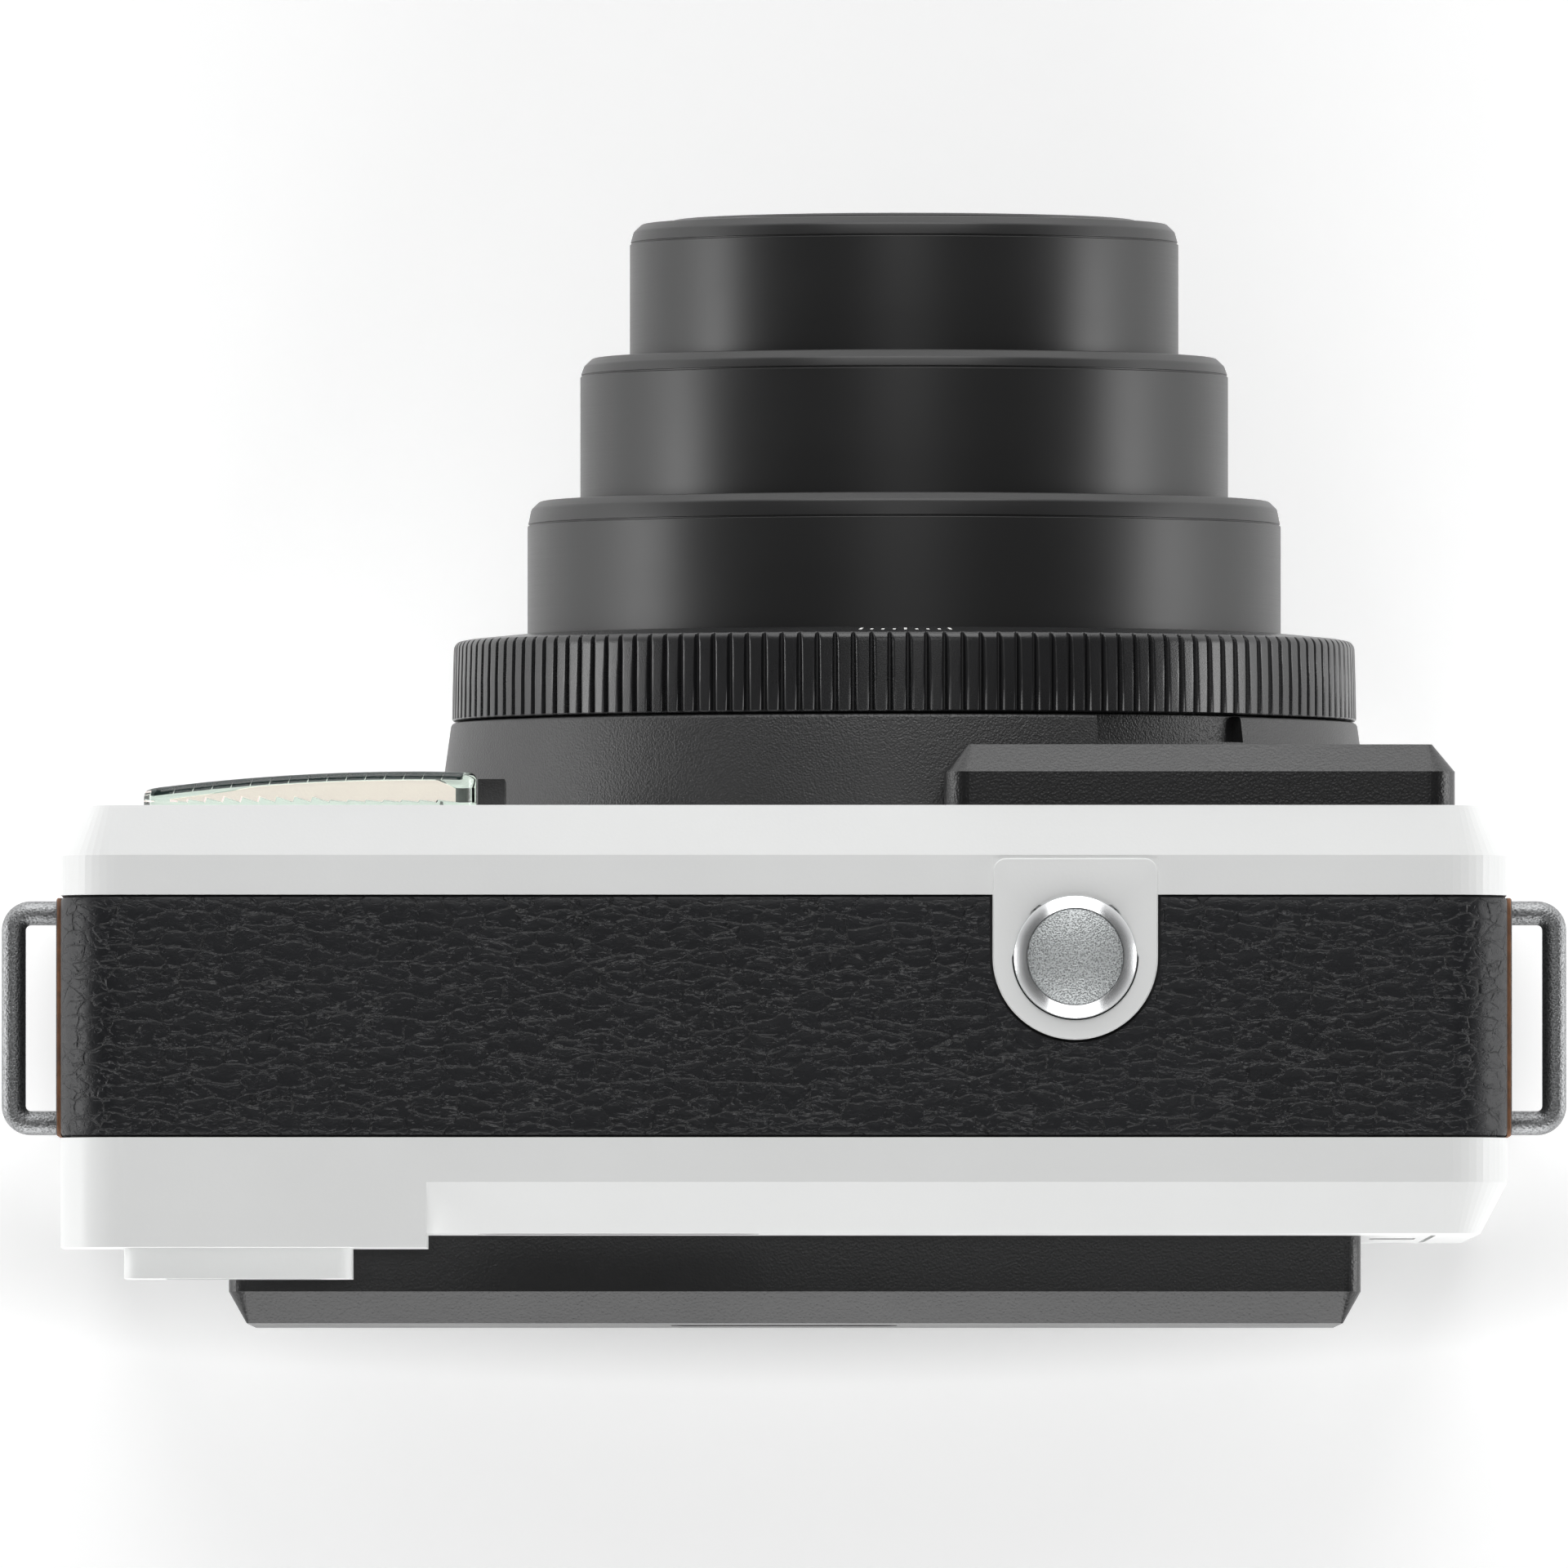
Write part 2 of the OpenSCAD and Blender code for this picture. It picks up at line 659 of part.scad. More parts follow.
module drive_roller() {
    toward = atan2(motor_y - drive_y, motor_x - roller_x);
    color([0.2, 0.2, 0.22]) translate([roller_x, drive_y, 0]) {
        translate([0, 0, roller_z[0]]) cylinder(r = roller_r, h = roller_z[1] - roller_z[0]);
        translate([0, 0, 9.5]) cylinder(r = 0.9, h = gear_z[1] - 9.5);
        translate([0, 0, gear_z[0]]) rotate(toward) linear_extrude(gear_z[1] - gear_z[0]) gear2(drive_teeth);
    }
}

module pinch_roller() {
    color("silver") translate([roller_x, pinch_y, 0]) {
        translate([0, 0, roller_z[0]]) cylinder(r = roller_r, h = roller_z[1] - roller_z[0]);
        translate([0, 0, 9.5]) cylinder(r = 0.9, h = 60);
    }
}

module motor_pinion() {
    back = atan2(drive_y - motor_y, roller_x - motor_x);
    color("ivory") translate([motor_x, motor_y, 0]) {
        translate([0, 0, gear_z[0]]) rotate(back + 180 / pinion_teeth)
            linear_extrude(gear_z[1] - gear_z[0]) gear2(pinion_teeth);
        translate([0, 0, 66]) cylinder(r = 0.75, h = gear_z[0] - 66);
    }
}

module eject_motor() {
    color("gray") translate([motor_x, motor_y, 0]) difference() {
        union() {
            translate([0, 0, 50]) cylinder(r = motor_r, h = 17.5);
            translate([0, 0, 67.5]) cylinder(r = 1.6, h = 1.2);
            for (x = [-1.5, 1.5]) translate([x, 0, 48.4]) cylinder(r = 0.4, h = 1.6);
        }
        translate([0, 0, 65.9]) cylinder(r = 0.8, h = 5);
    }
}

// ---- film door ----

module door_hinge_pin() {
    color("silver") translate([hinge_x, hinge_y, 13]) cylinder(r = 0.58, h = 55);
}

module film_door() {
    color("whitesmoke") difference() {
        union() {
            slab(door_y, face_b) plate2(door_x, door_z, 0.5);
            for (z = [14, 55]) {
                translate([hinge_x, hinge_y, z]) cylinder(r = 1.5, h = 12);
                box([49.9, hinge_x], [door_y, 16.9], [z, z + 12]);
            }
        }
        box([48.9, 60], [10, 20], [26, 55]);
        box([-50.2, -46.6], [door_y + 0.6, 20], [35, 47]);
        translate([hinge_x, hinge_y, 0]) cylinder(r = 0.62, h = 90);
    }
}

module door_cover() {
    color([0.14, 0.14, 0.15]) difference() {
        chamfered(cover_x, cover_z, 1.5, face_b, cover_b - 2.5, cover_b, 1.4);
        box([cover_x[0] + 1.8, cover_x[1] - 1.8], [face_b - 1, cover_b - 1.8], [cover_z[0] + 1.8, cover_z[1] - 1.8]);
        slab(cover_b - 1, cover_b + 1) plate2([-9, 9], [35, 47], 1.2);
        box([-7, 7], [cover_b - 3, cover_b], [37, 45]);
    }
}

module film_window() {
    color([0.55, 0.4, 0.12, 0.6]) slab(cover_b - 0.95, cover_b - 0.15) plate2([-8.95, 8.95], [35.05, 46.95], 1.15);
}

// Bowed leaves on the door that push the film pack forwards
module pressure_springs() {
    sag = door_y - pack_y[1] - 0.4;
    leaf = 0.3;
    bow = [for (i = [-8:8]) [i * 1.5, sag * (1 - i * i / 64)]];
    color("silver") for (x = [-30, 12]) translate([x, door_y, 33]) linear_extrude(16)
        polygon(concat([for (p = bow) [p[0], -p[1]]], [for (i = [16:-1:0]) [bow[i][0], -bow[i][1] - leaf]]));
}

module door_latch() {
    color([0.2, 0.2, 0.2]) difference() {
        box([-50, -46.8], [door_y + 0.7, face_b - 0.1], [36, 42]);
        for (z = [37.2, 38.6, 40]) box([-51, -46], [face_b - 0.4, face_b + 1], [z, z + 0.7]);
    }
}

front_shell();
rear_shell();
mid_frame();
leather_wrap();
side_pad(1);  // side_pad_left
side_pad(-1);  // side_pad_right
strap_lug(1);  // strap_lug_left
strap_lug(-1);  // strap_lug_right
shutter_bezel();
lens_mount();
mirror_housing();
selfie_mirror();
timer_lamp();
exposure_meter();
flash_window();
flash_reflector();
flash_tube();
flash_capacitor();
finder_window();
finder_tube();
eyepiece_frame();
eyepiece_lens();
light_baffle();
film_pack();
film_sheets();
roller_frame();
eject_motor();
circuit_board();
lcd_window();
battery();
tripod_socket();
case_screws();
exit_slot_bezel();
door_hinge_pin();
control_ring();
barrel_outer();
barrel_middle();
barrel_inner();
lens_trim_ring();
front_element();
lens_cell();
shutter_plate();
shutter_blade();
release_button();
release_spring();
front_button();
film_door();
door_cover();
film_window();
pressure_springs();
door_latch();
battery_door();
drive_roller();
pinch_roller();
motor_pinion();
rear_button(0);  // power_button
rear_button(1);  // mode_button
rear_button(2);  // flash_button
rear_button(3);  // timer_button
rear_button(4);  // bright_button
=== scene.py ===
import logging
import math
from dataclasses import dataclass, field
from enum import Enum
from typing import Any, Callable, ClassVar, Iterable, Sequence

import bmesh
import bpy
from mathutils import Matrix, Vector


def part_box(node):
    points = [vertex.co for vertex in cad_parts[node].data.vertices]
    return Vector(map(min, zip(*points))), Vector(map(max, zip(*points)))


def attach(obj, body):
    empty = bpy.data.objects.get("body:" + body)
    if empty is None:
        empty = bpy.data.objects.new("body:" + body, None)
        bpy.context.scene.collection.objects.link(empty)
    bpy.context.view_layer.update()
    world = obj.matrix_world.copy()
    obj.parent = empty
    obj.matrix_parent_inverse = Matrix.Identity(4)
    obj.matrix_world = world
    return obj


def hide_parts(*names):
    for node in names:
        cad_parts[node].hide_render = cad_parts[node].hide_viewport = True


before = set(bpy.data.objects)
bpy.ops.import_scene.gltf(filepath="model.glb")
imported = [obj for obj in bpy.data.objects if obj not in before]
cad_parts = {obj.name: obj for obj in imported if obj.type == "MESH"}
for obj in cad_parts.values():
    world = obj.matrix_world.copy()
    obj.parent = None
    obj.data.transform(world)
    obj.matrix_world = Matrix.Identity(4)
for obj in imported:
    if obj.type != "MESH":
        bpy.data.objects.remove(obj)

LOG = logging.getLogger("instant_camera")
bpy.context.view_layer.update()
MM = 0.001
Point = tuple[float, float, float]
Flat = tuple[float, float]
Colour = tuple[float, float, float]


class Side(Enum):
    """A side of the camera, as the sign of X seen from the front."""

    LEFT = 1
    RIGHT = -1


class Axis(Enum):
    """The axis that a turned piece is turned about."""

    LENS = "forwards along the lens"
    UP = "up through the top"


# ---------------------------------------------------------------- shader maths


class Wire:
    """A node's output that takes part in Python arithmetic."""

    def __init__(self, shader: "Shader", socket: bpy.types.NodeSocket) -> None:
        """Wraps one output.

        Args:
            shader: the graph that new Math nodes go into.
            socket: the output that this wire starts from.
        """
        self.shader = shader
        self.socket = socket

    def __add__(self, other: "Value") -> "Wire":
        """Sum with a wire or a number."""
        return self.shader.math("ADD", self, other)

    __radd__ = __add__

    def __sub__(self, other: "Value") -> "Wire":
        """Difference from a wire or a number."""
        return self.shader.math("SUBTRACT", self, other)

    def __rsub__(self, other: "Value") -> "Wire":
        """Number minus this wire."""
        return self.shader.math("SUBTRACT", other, self)

    def __mul__(self, other: "Value") -> "Wire":
        """Product with a wire or a number."""
        return self.shader.math("MULTIPLY", self, other)

    __rmul__ = __mul__

    def __truediv__(self, other: "Value") -> "Wire":
        """Quotient by a wire or a number."""
        return self.shader.math("DIVIDE", self, other)

    def __pow__(self, other: "Value") -> "Wire":
        """Power, by a wire or a number."""
        return self.shader.math("POWER", self, other)

    def span(self, low: float, high: float, start: float = 0.0, end: float = 1.0) -> "Wire":
        """Maps low..high to start..end, and holds it there outside.

        Args:
            low: the value that becomes start.
            high: the value that becomes end.
            start: result at low.
            end: result at high.

        Returns:
            The mapped wire.
        """
        inputs = {"Value": self, "From Min": low, "From Max": high, "To Min": start, "To Max": end}
        return self.shader.node("ShaderNodeMapRange", {"clamp": True}, inputs)


Value = Wire | float


class Shader:
    """One material's node graph round a Principled shader."""

    def __init__(self, name: str) -> None:
        """Starts a material with an empty graph.

        Args:
            name: the material's name.
        """
        self.material = bpy.data.materials.new(name)
        self.material.use_nodes = True
        self.tree = self.material.node_tree
        self.tree.nodes.clear()
        self.surface = self.tree.nodes.new("ShaderNodeBsdfPrincipled")
        output = self.tree.nodes.new("ShaderNodeOutputMaterial")
        self.tree.links.new(self.surface.outputs["BSDF"], output.inputs["Surface"])
        place = self.tree.nodes.new("ShaderNodeTexCoord")
        self.place = Wire(self, place.outputs["Object"])

    def node(self, kind: str, settings: dict[str, Any], inputs: dict[Any, Any], output: Any = 0) -> Wire:
        """Adds any node.

        Args:
            kind: the node's type.
            settings: attributes set first. "stops" fills a colour ramp with (position, grey or colour).
            inputs: socket name or index to a value or a wire.
            output: name or index of the output that is returned.

        Returns:
            The wire from that output.
        """
        node = self.tree.nodes.new(kind)
        for key, value in settings.items():
            if key == "stops":
                self._fill_ramp(node.color_ramp, value)
            else:
                setattr(node, key, value)
        for key, value in inputs.items():
            if isinstance(value, Wire):
                self.tree.links.new(value.socket, node.inputs[key])
            else:
                node.inputs[key].default_value = value
        return Wire(self, node.outputs[output])

    @staticmethod
    def _fill_ramp(ramp: bpy.types.ColorRamp, stops: Sequence[tuple[float, Any]]) -> None:
        """Sets a colour ramp's stops.

        Args:
            ramp: the ramp to fill.
            stops: each stop's position, and its grey or colour.
        """
        while len(ramp.elements) < len(stops):
            ramp.elements.new(1.0)
        for element, (position, colour) in zip(ramp.elements, stops):
            element.position = position
            element.color = (colour,) * 3 + (1.0,) if isinstance(colour, float) else (*colour, 1.0)

    def math(self, operation: str, *values: Value) -> Wire:
        """A Math node on wires and numbers."""
        return self.node("ShaderNodeMath", {"operation": operation}, dict(enumerate(values)))

    def scaled(self, x: float, y: float, z: float, source: Wire | None = None) -> Wire:
        """The place on the object, multiplied along each axis.

        Args:
            x: factor along X, per metre.
            y: factor along Y.
            z: factor along Z.
            source: the vector to scale, or None for the object's own place.

        Returns:
            The scaled vector.
        """
        inputs = {0: source or self.place, 1: (x, y, z)}
        return self.node("ShaderNodeVectorMath", {"operation": "MULTIPLY"}, inputs)

    def noise(self, size_mm: float, detail: float = 2.0, rough: float = 0.5, at: Wire | None = None) -> Wire:
        """Noise whose features measure about size_mm.

        Args:
            size_mm: feature size in millimetres.
            detail: octaves.
            rough: how strong each finer octave is.
            at: the place to read it at, or None for the object's own place.

        Returns:
            A value about 0.5.
        """
        inputs = {"Vector": at or self.place, "Scale": 1 / (size_mm * MM)}
        return self.node("ShaderNodeTexNoise", {}, {**inputs, "Detail": detail, "Roughness": rough})

    def cells(self, size_mm: float, feature: str, at: Wire | None = None) -> Wire:
        """Distance in a field of cells that measure about size_mm.

        Args:
            size_mm: cell size in millimetres.
            feature: "F1" for the distance to a cell's middle, or "DISTANCE_TO_EDGE".
            at: the place to read it at, or None for the object's own place.

        Returns:
            The distance, in cells.
        """
        inputs = {"Vector": at or self.place, "Scale": 1 / (size_mm * MM)}
        return self.node("ShaderNodeTexVoronoi", {"feature": feature}, inputs, "Distance")

    def mix(self, factor: Value, low: Any, high: Any) -> Wire:
        """Mixes two colours.

        Args:
            factor: 0 gives low and 1 gives high.
            low: a colour or a wire.
            high: a colour or a wire.

        Returns:
            The mixed colour.
        """
        ends = [(*c, 1.0) if isinstance(c, tuple) else c for c in (low, high)]
        inputs = {0: factor, 6: ends[0], 7: ends[1]}
        return self.node("ShaderNodeMix", {"data_type": "RGBA"}, inputs, 2)

    def bump(self, height: Wire, depth_mm: float, under: Wire | None = None) -> Wire:
        """Turns a height into a normal.

        Args:
            height: the height, of which 1 stands for depth_mm.
            depth_mm: depth in millimetres.
            under: a normal that this one adds to.

        Returns:
            The bent normal.
        """
        inputs: dict[str, Any] = {"Height": height, "Distance": depth_mm * MM, "Strength": 1.0}
        if under is not None:
            inputs["Normal"] = under
        return self.node("ShaderNodeBump", {}, inputs)

    def feed(self, **sockets: Any) -> None:
        """Sets or links sockets of the Principled shader.

        Args:
            sockets: value or wire for each socket, named with _ for a space.
        """
        for key, value in sockets.items():
            socket = self.surface.inputs[key.replace("_", " ")]
            if isinstance(value, Wire):
                self.tree.links.new(value.socket, socket)
            elif socket.type == "RGBA":
                socket.default_value = (*value, 1.0)
            else:
                socket.default_value = value


# ---------------------------------------------------------------- finishes


@dataclass(frozen=True)
class Finish:
    """A surface finish, named for what it is and drawn once."""

    name: str

    def material(self) -> bpy.types.Material:
        """The material, made at its first use."""
        label = "finish_" + self.name
        known = bpy.data.materials.get(label)
        if known:
            return known
        shader = Shader(label)
        self.draw(shader)
        return shader.material

    def draw(self, shader: Shader) -> None:
        """Fills in the shader; each kind of finish has its own."""
        raise NotImplementedError


@dataclass(frozen=True)
class MouldedPlastic(Finish):
    """Plastic from a spark-eroded mould: fine grain, soft clouding and rubbed patches."""

    colour: Colour
    roughness: float = 0.4
    grain_mm: float = 0.16
    grain_depth: float = 0.006
    cloud: float = 0.04
    specular: float = 0.5
    coat: float = 0.0
    # painted light: an emission for plastic that is no lamp; only the flash diffuser uses it
    glow: Colour = (0.0, 0.0, 0.0)

    def draw(self, shader: Shader) -> None:
        """Grain from cells and noise, over a slow cloud that moves colour and gloss."""
        cloud = shader.noise(9.0, 3.0)
        fine = shader.noise(self.grain_mm * 0.6, 1.5)
        pits = shader.cells(self.grain_mm, "F1").span(0.1, 0.75)
        grain = pits * 0.6 + fine * 0.8
        darker = tuple(c * (1 - self.cloud) for c in self.colour)
        lighter = tuple(min(c * (1 + self.cloud), 1.0) for c in self.colour)
        base = shader.mix(cloud.span(0.3, 0.7), darker, lighter)
        worn = shader.noise(26.0, 4.0, 0.6).span(0.45, 0.7, 0.0, -0.05)
        shader.feed(
            Base_Color=base,
            Roughness=(cloud - 0.5) * 0.12 + self.roughness + worn + (fine - 0.5) * 0.08,
            Normal=shader.bump(grain, self.grain_depth),
            Specular_IOR_Level=self.specular,
            Coat_Weight=self.coat,
            Coat_Roughness=0.12,
        )
        # painted light: the plastic glows although it is no lamp
        if any(self.glow):
            shader.feed(Emission_Color=self.glow, Emission_Strength=1.0)


@dataclass(frozen=True)
class GrainedLeather(Finish):
    """Black embossed leather: long creases, pebbled between them, with fine pores."""

    colour: Colour
    # painted glint: a lighter colour laid along the fine creases
    fine_crease_glint_colour: Colour
    long_mm: float = 2.7
    short_mm: float = 1.3

    def draw(self, shader: Shader) -> None:
        """Warped cells give the creases, noise fades them in and out, and pores lie between; the fine creases
        carry a painted glint and the main creases' cores painted shade.
        """
        warp = shader.node(
            "ShaderNodeTexNoise", {}, {"Vector": shader.place, "Scale": 420.0, "Detail": 3.0}, "Color")
        warp = shader.node(
            "ShaderNodeVectorMath", {"operation": "SUBTRACT"}, {0: warp, 1: (0.5, 0.5, 0.5)})
        shift = shader.scaled(0.0016, 0.0012, 0.0016, warp)
        bent = shader.node("ShaderNodeVectorMath", {"operation": "ADD"}, {0: shader.place, 1: shift})
        ratio = self.long_mm / self.short_mm
        laid = shader.scaled(1.0, ratio, 1.0, bent)
        main = shader.cells(self.long_mm, "DISTANCE_TO_EDGE", laid)
        second = shader.cells(self.long_mm * 0.42, "DISTANCE_TO_EDGE", laid)
        third = shader.cells(self.long_mm * 0.2, "DISTANCE_TO_EDGE", laid)
        presence = shader.noise(1.5, 3.0, 0.65).span(0.44, 0.6)
        spread = shader.noise(0.9, 2.0, 0.6, laid).span(0.46, 0.62)
        close = main.span(0.0, 0.3, 1.0, 0.15)
        main_crease = main.span(0.0, 0.045, 1.0, 0.0) * (presence * 0.85 + 0.15)
        fine_crease = second.span(0.0, 0.07, 1.0, 0.0) * spread * close
        hair = third.span(0.0, 0.12, 1.0, 0.0) * spread
        pores = shader.cells(0.3, "F1").span(0.05, 0.35, 1.0, 0.0) * shader.noise(2.1, 1.0).span(0.5, 0.62)
        grit = shader.noise(0.14, 2.0)
        height = 1.0 - main_crease - fine_crease * 0.6 - hair * 0.12 - pores * 0.12 + grit * 0.1
        height = height + main.span(0.0, 0.4) * 0.35
        cloud = shader.noise(14.0, 3.0)
        base = shader.mix(cloud.span(0.35, 0.65), tuple(c * 0.8 for c in self.colour), self.colour)
        # painted glint: the fine creases lighten towards the glint colour
        base = shader.mix(fine_crease * 0.35 * (1.0 - main_crease), base, self.fine_crease_glint_colour)
        # painted shade: the cores of the main creases darken to a quarter of the leather's colour
        base = shader.mix(main_crease * 0.75, base, tuple(c * 0.25 for c in self.colour))
        shader.feed(
            Base_Color=base,
            Roughness=0.44 + (cloud - 0.5) * 0.12 + (grit - 0.5) * 0.12,
            Normal=shader.bump(height, 0.12),
            Specular_IOR_Level=0.42,
        )


@dataclass(frozen=True)
class RawLeatherEdge(Finish):
    """The unpainted cut edge of thick leather, with its fibres."""

    colour: Colour = (0.30, 0.135, 0.062)

    def draw(self, shader: Shader) -> None:
        """Fibres drawn out along the edge over a blotchy ground."""
        fibre = shader.noise(0.5, 4.0, 0.7, shader.scaled(3.0, 0.5, 0.5))
        blotch = shader.noise(2.4, 3.0)
        base = shader.mix(fibre.span(0.3, 0.7), tuple(c * 0.45 for c in self.colour), self.colour)
        base = shader.mix(blotch.span(0.5, 0.75, 0.0, 0.6), base, (0.05, 0.03, 0.025))
        shader.feed(Base_Color=base, Roughness=0.85 - blotch * 0.15, Normal=shader.bump(fibre, 0.05))


@dataclass(frozen=True)
class BlastedMetal(Finish):
    """Bead-blasted metal: round dents that sparkle."""

    colour: Colour
    bead_mm: float = 0.11
    depth_mm: float = 0.02
    roughness: float = 0.34
    contrast: float = 0.3

    def draw(self, shader: Shader) -> None:
        """Dents from cells at two sizes; the colour is darkest in the deepest, a painted shade in the
        hollows, over random speckle.
        """
        dents = shader.cells(self.bead_mm, "F1").span(0.0, 0.7)
        small = shader.noise(self.bead_mm * 0.55, 2.0, 0.7)
        shade = dents * 0.5 + small * 0.7
        # painted shade in the dent hollows, mixed with random speckle: the colour darkens by contrast where
        # the dents are deepest
        dark = tuple(c * (1 - self.contrast) for c in self.colour)
        base = shader.mix(shade.span(0.35, 0.85), dark, self.colour)
        shader.feed(
            Base_Color=base,
            Metallic=1.0,
            Roughness=self.roughness + (small - 0.5) * 0.2,
            Normal=shader.bump(shade, self.depth_mm),
        )


@dataclass(frozen=True)
class TurnedMetal(Finish):
    """Metal turned on a lathe: rings of fine cutter marks, satin or bright."""

    colour: Colour
    roughness: float = 0.3
    metallic: float = 1.0
    mark_mm: float = 0.05
    depth_mm: float = 0.002
    specular: float = 0.5

    def draw(self, shader: Shader) -> None:
        """Marks that follow the depth axis, with a soft mottle and dust-fine speckle."""
        marks = shader.noise(self.mark_mm * 20, 4.0, 0.8, shader.scaled(0.02, 20.0, 0.02))
        speck = shader.noise(0.09, 2.0, 0.7)
        cloud = shader.noise(11.0, 3.0)
        dark = tuple(c * 0.86 for c in self.colour)
        base = shader.mix(cloud.span(0.3, 0.7) * 0.6 + speck * 0.4, dark, self.colour)
        rough = (marks - 0.5) * 0.1 + (cloud - 0.5) * 0.08 + (speck - 0.5) * 0.1 + self.roughness
        shader.feed(
            Base_Color=base,
            Metallic=self.metallic,
            Roughness=rough,
            Normal=shader.bump(marks * 0.5 + speck, self.depth_mm),
            Specular_IOR_Level=self.specular,
        )


@dataclass(frozen=True)
class ClearSolid(Finish):
    """Glass or clear plastic, faintly smeared."""

    colour: Colour
    roughness: float = 0.02
    ior: float = 1.49

    def draw(self, shader: Shader) -> None:
        """Clear body with a slow change of tint and a trace of smear."""
        cloud = shader.noise(6.0, 2.0)
        base = shader.mix(cloud.span(0.3, 0.7), tuple(c * 0.97 for c in self.colour), self.colour)
        smear = shader.noise(4.0, 4.0, 0.7, shader.scaled(1.0, 1.0, 3.0)).span(0.5, 0.75, 0.0, 0.04)
        shader.feed(
            Base_Color=base,
            Roughness=self.roughness + smear,
            Transmission_Weight=1.0,
            IOR=self.ior,
        )


@dataclass(frozen=True)
class CoatedGlass(Finish):
    """A dark coated lens surface that mirrors its surroundings faintly."""

    colour: Colour
    # painted reflection: the purple of the coat's reflection, laid in towards the rim
    tint: Colour
    axis: Flat = (-9.57, 41.0)
    rim_mm: float = 11.3

    def draw(self, shader: Shader) -> None:
        """A painted reflection: the coat's purple reflection is laid into the colour, stronger from the axis
        towards the rim, with a little random change.
        """
        cloud = shader.noise(16.0, 1.0)
        centre = (self.axis[0] * MM, 0.0, self.axis[1] * MM)
        shifted = shader.node("ShaderNodeVectorMath", {"operation": "SUBTRACT"}, {0: shader.place, 1: centre})
        across = shader.scaled(1.0, 0.0, 1.0, shifted)
        reach = shader.node("ShaderNodeVectorMath", {"operation": "LENGTH"}, {0: across}, 1)
        rim = reach.span(self.rim_mm * 0.2 * MM, self.rim_mm * MM)
        # painted reflection: the colour moves from the dark glass towards the purple tint as the rim nears
        base = shader.mix(rim * 0.7 + cloud.span(0.4, 0.6, 0.0, 0.2), self.colour, self.tint)
        shader.feed(
            Base_Color=base, Roughness=0.02 + cloud * 0.03, Coat_Weight=1.0, Coat_Roughness=0.01,
            Specular_IOR_Level=0.8)


@dataclass(frozen=True)
class Silvered(Finish):
    """A mirror surface with a trace of haze."""

    colour: Colour = (0.9, 0.91, 0.93)

    def draw(self, shader: Shader) -> None:
        """Haze from slow noise."""
        haze = shader.noise(3.0, 3.0)
        base = shader.mix(haze, tuple(c * 0.97 for c in self.colour), self.colour)
        shader.feed(Base_Color=base, Metallic=1.0, Roughness=haze.span(0.4, 0.8, 0.02, 0.07))


@dataclass(frozen=True)
class PrintedBoard(Finish):
    """Circuit board under green solder mask, with its tracks."""

    def draw(self, shader: Shader) -> None:
        """Tracks are the raised edges of a blocky cell pattern."""
        laid = shader.scaled(1.0, 0.1, 1.0)
        inputs = {"Vector": laid, "Scale": 420.0}
        block = shader.node(
            "ShaderNodeTexVoronoi", {"feature": "F1", "distance": "CHEBYCHEV"}, inputs, "Distance")
        track = block.span(0.3, 0.34) * block.span(0.4, 0.36)
        base = shader.mix(track, (0.008, 0.07, 0.03), (0.03, 0.2, 0.09))
        shader.feed(
            Base_Color=base, Roughness=0.35 + track * 0.1, Normal=shader.bump(track, 0.03), Coat_Weight=0.3)


@dataclass(frozen=True)
class Ground(Finish):
    """The studio floor: pale, with the faintest tooth, glowing more away from the middle, with a painted
    shadow in an oval under the camera's back.
    """

    near: float = 0.15
    far: float = 0.42
    glow: float = 2.6
    # painted shadow: the middle and half-sizes, in metres, of the oval where the floor's glow drops away
    painted_shadow_centre: float = 0.0165
    painted_shadow_size: Flat = (0.06, 0.0085)

    def draw(self, shader: Shader) -> None:
        """Near-white paper whose glow grows outwards and drops to nothing in an oval under the camera's back:
        a painted shadow.
        """
        tooth = shader.noise(3.0, 2.0)
        base = shader.mix(tooth, (0.88, 0.88, 0.88), (0.9, 0.9, 0.9))
        reach = shader.node("ShaderNodeVectorMath", {"operation": "LENGTH"}, {0: shader.place}, 1)
        centre = (0.0, self.painted_shadow_centre, 0.0)
        shifted = shader.node("ShaderNodeVectorMath", {"operation": "SUBTRACT"}, {0: shader.place, 1: centre})
        painted_shadow_oval = shader.scaled(1 / self.painted_shadow_size[0], 1 / self.painted_shadow_size[1], 1.0, shifted)
        edge = shader.node("ShaderNodeVectorMath", {"operation": "LENGTH"}, {0: painted_shadow_oval}, 1)
        # painted shadow: no glow inside the oval, the near level at its edge, rising to far further out
        level = edge.span(0.6, 1.4, 0.0, self.near) + reach.span(0.14, 0.3, 0.0, self.far - self.near)
        glow = shader.mix(level, (0.0, 0.0, 0.0), (1.0, 1.0, 1.0))
        shader.feed(
            Base_Color=base, Roughness=0.9, Specular_IOR_Level=0.1, Emission_Color=glow,
            Emission_Strength=self.glow)


WHITE_SHELL = MouldedPlastic(
    "white_shell_plastic", (0.825, 0.832, 0.827), 0.36, 0.3, 0.0035, 0.012, 0.35)
BLACK_GRAIN = MouldedPlastic("black_grained_plastic", (0.0045, 0.0045, 0.005), 0.33, 0.24, 0.022, 0.15, 0.65)
MOUNT_BLACK = MouldedPlastic("mount_black_plastic", (0.014, 0.014, 0.0145), 0.42, 0.19, 0.034, 0.1, 0.7)
RIDGE_BLACK = MouldedPlastic("ridged_ring_plastic", (0.014, 0.014, 0.015), 0.29, 0.12, 0.005, 0.1, 0.62)
SMOOTH_BLACK = MouldedPlastic("smooth_black_plastic", (0.012, 0.012, 0.013), 0.3, 0.1, 0.002, 0.1, 0.5)
INNER_BLACK = MouldedPlastic("matte_inner_black", (0.01, 0.01, 0.01), 0.75, 0.2, 0.01, 0.1, 0.25)
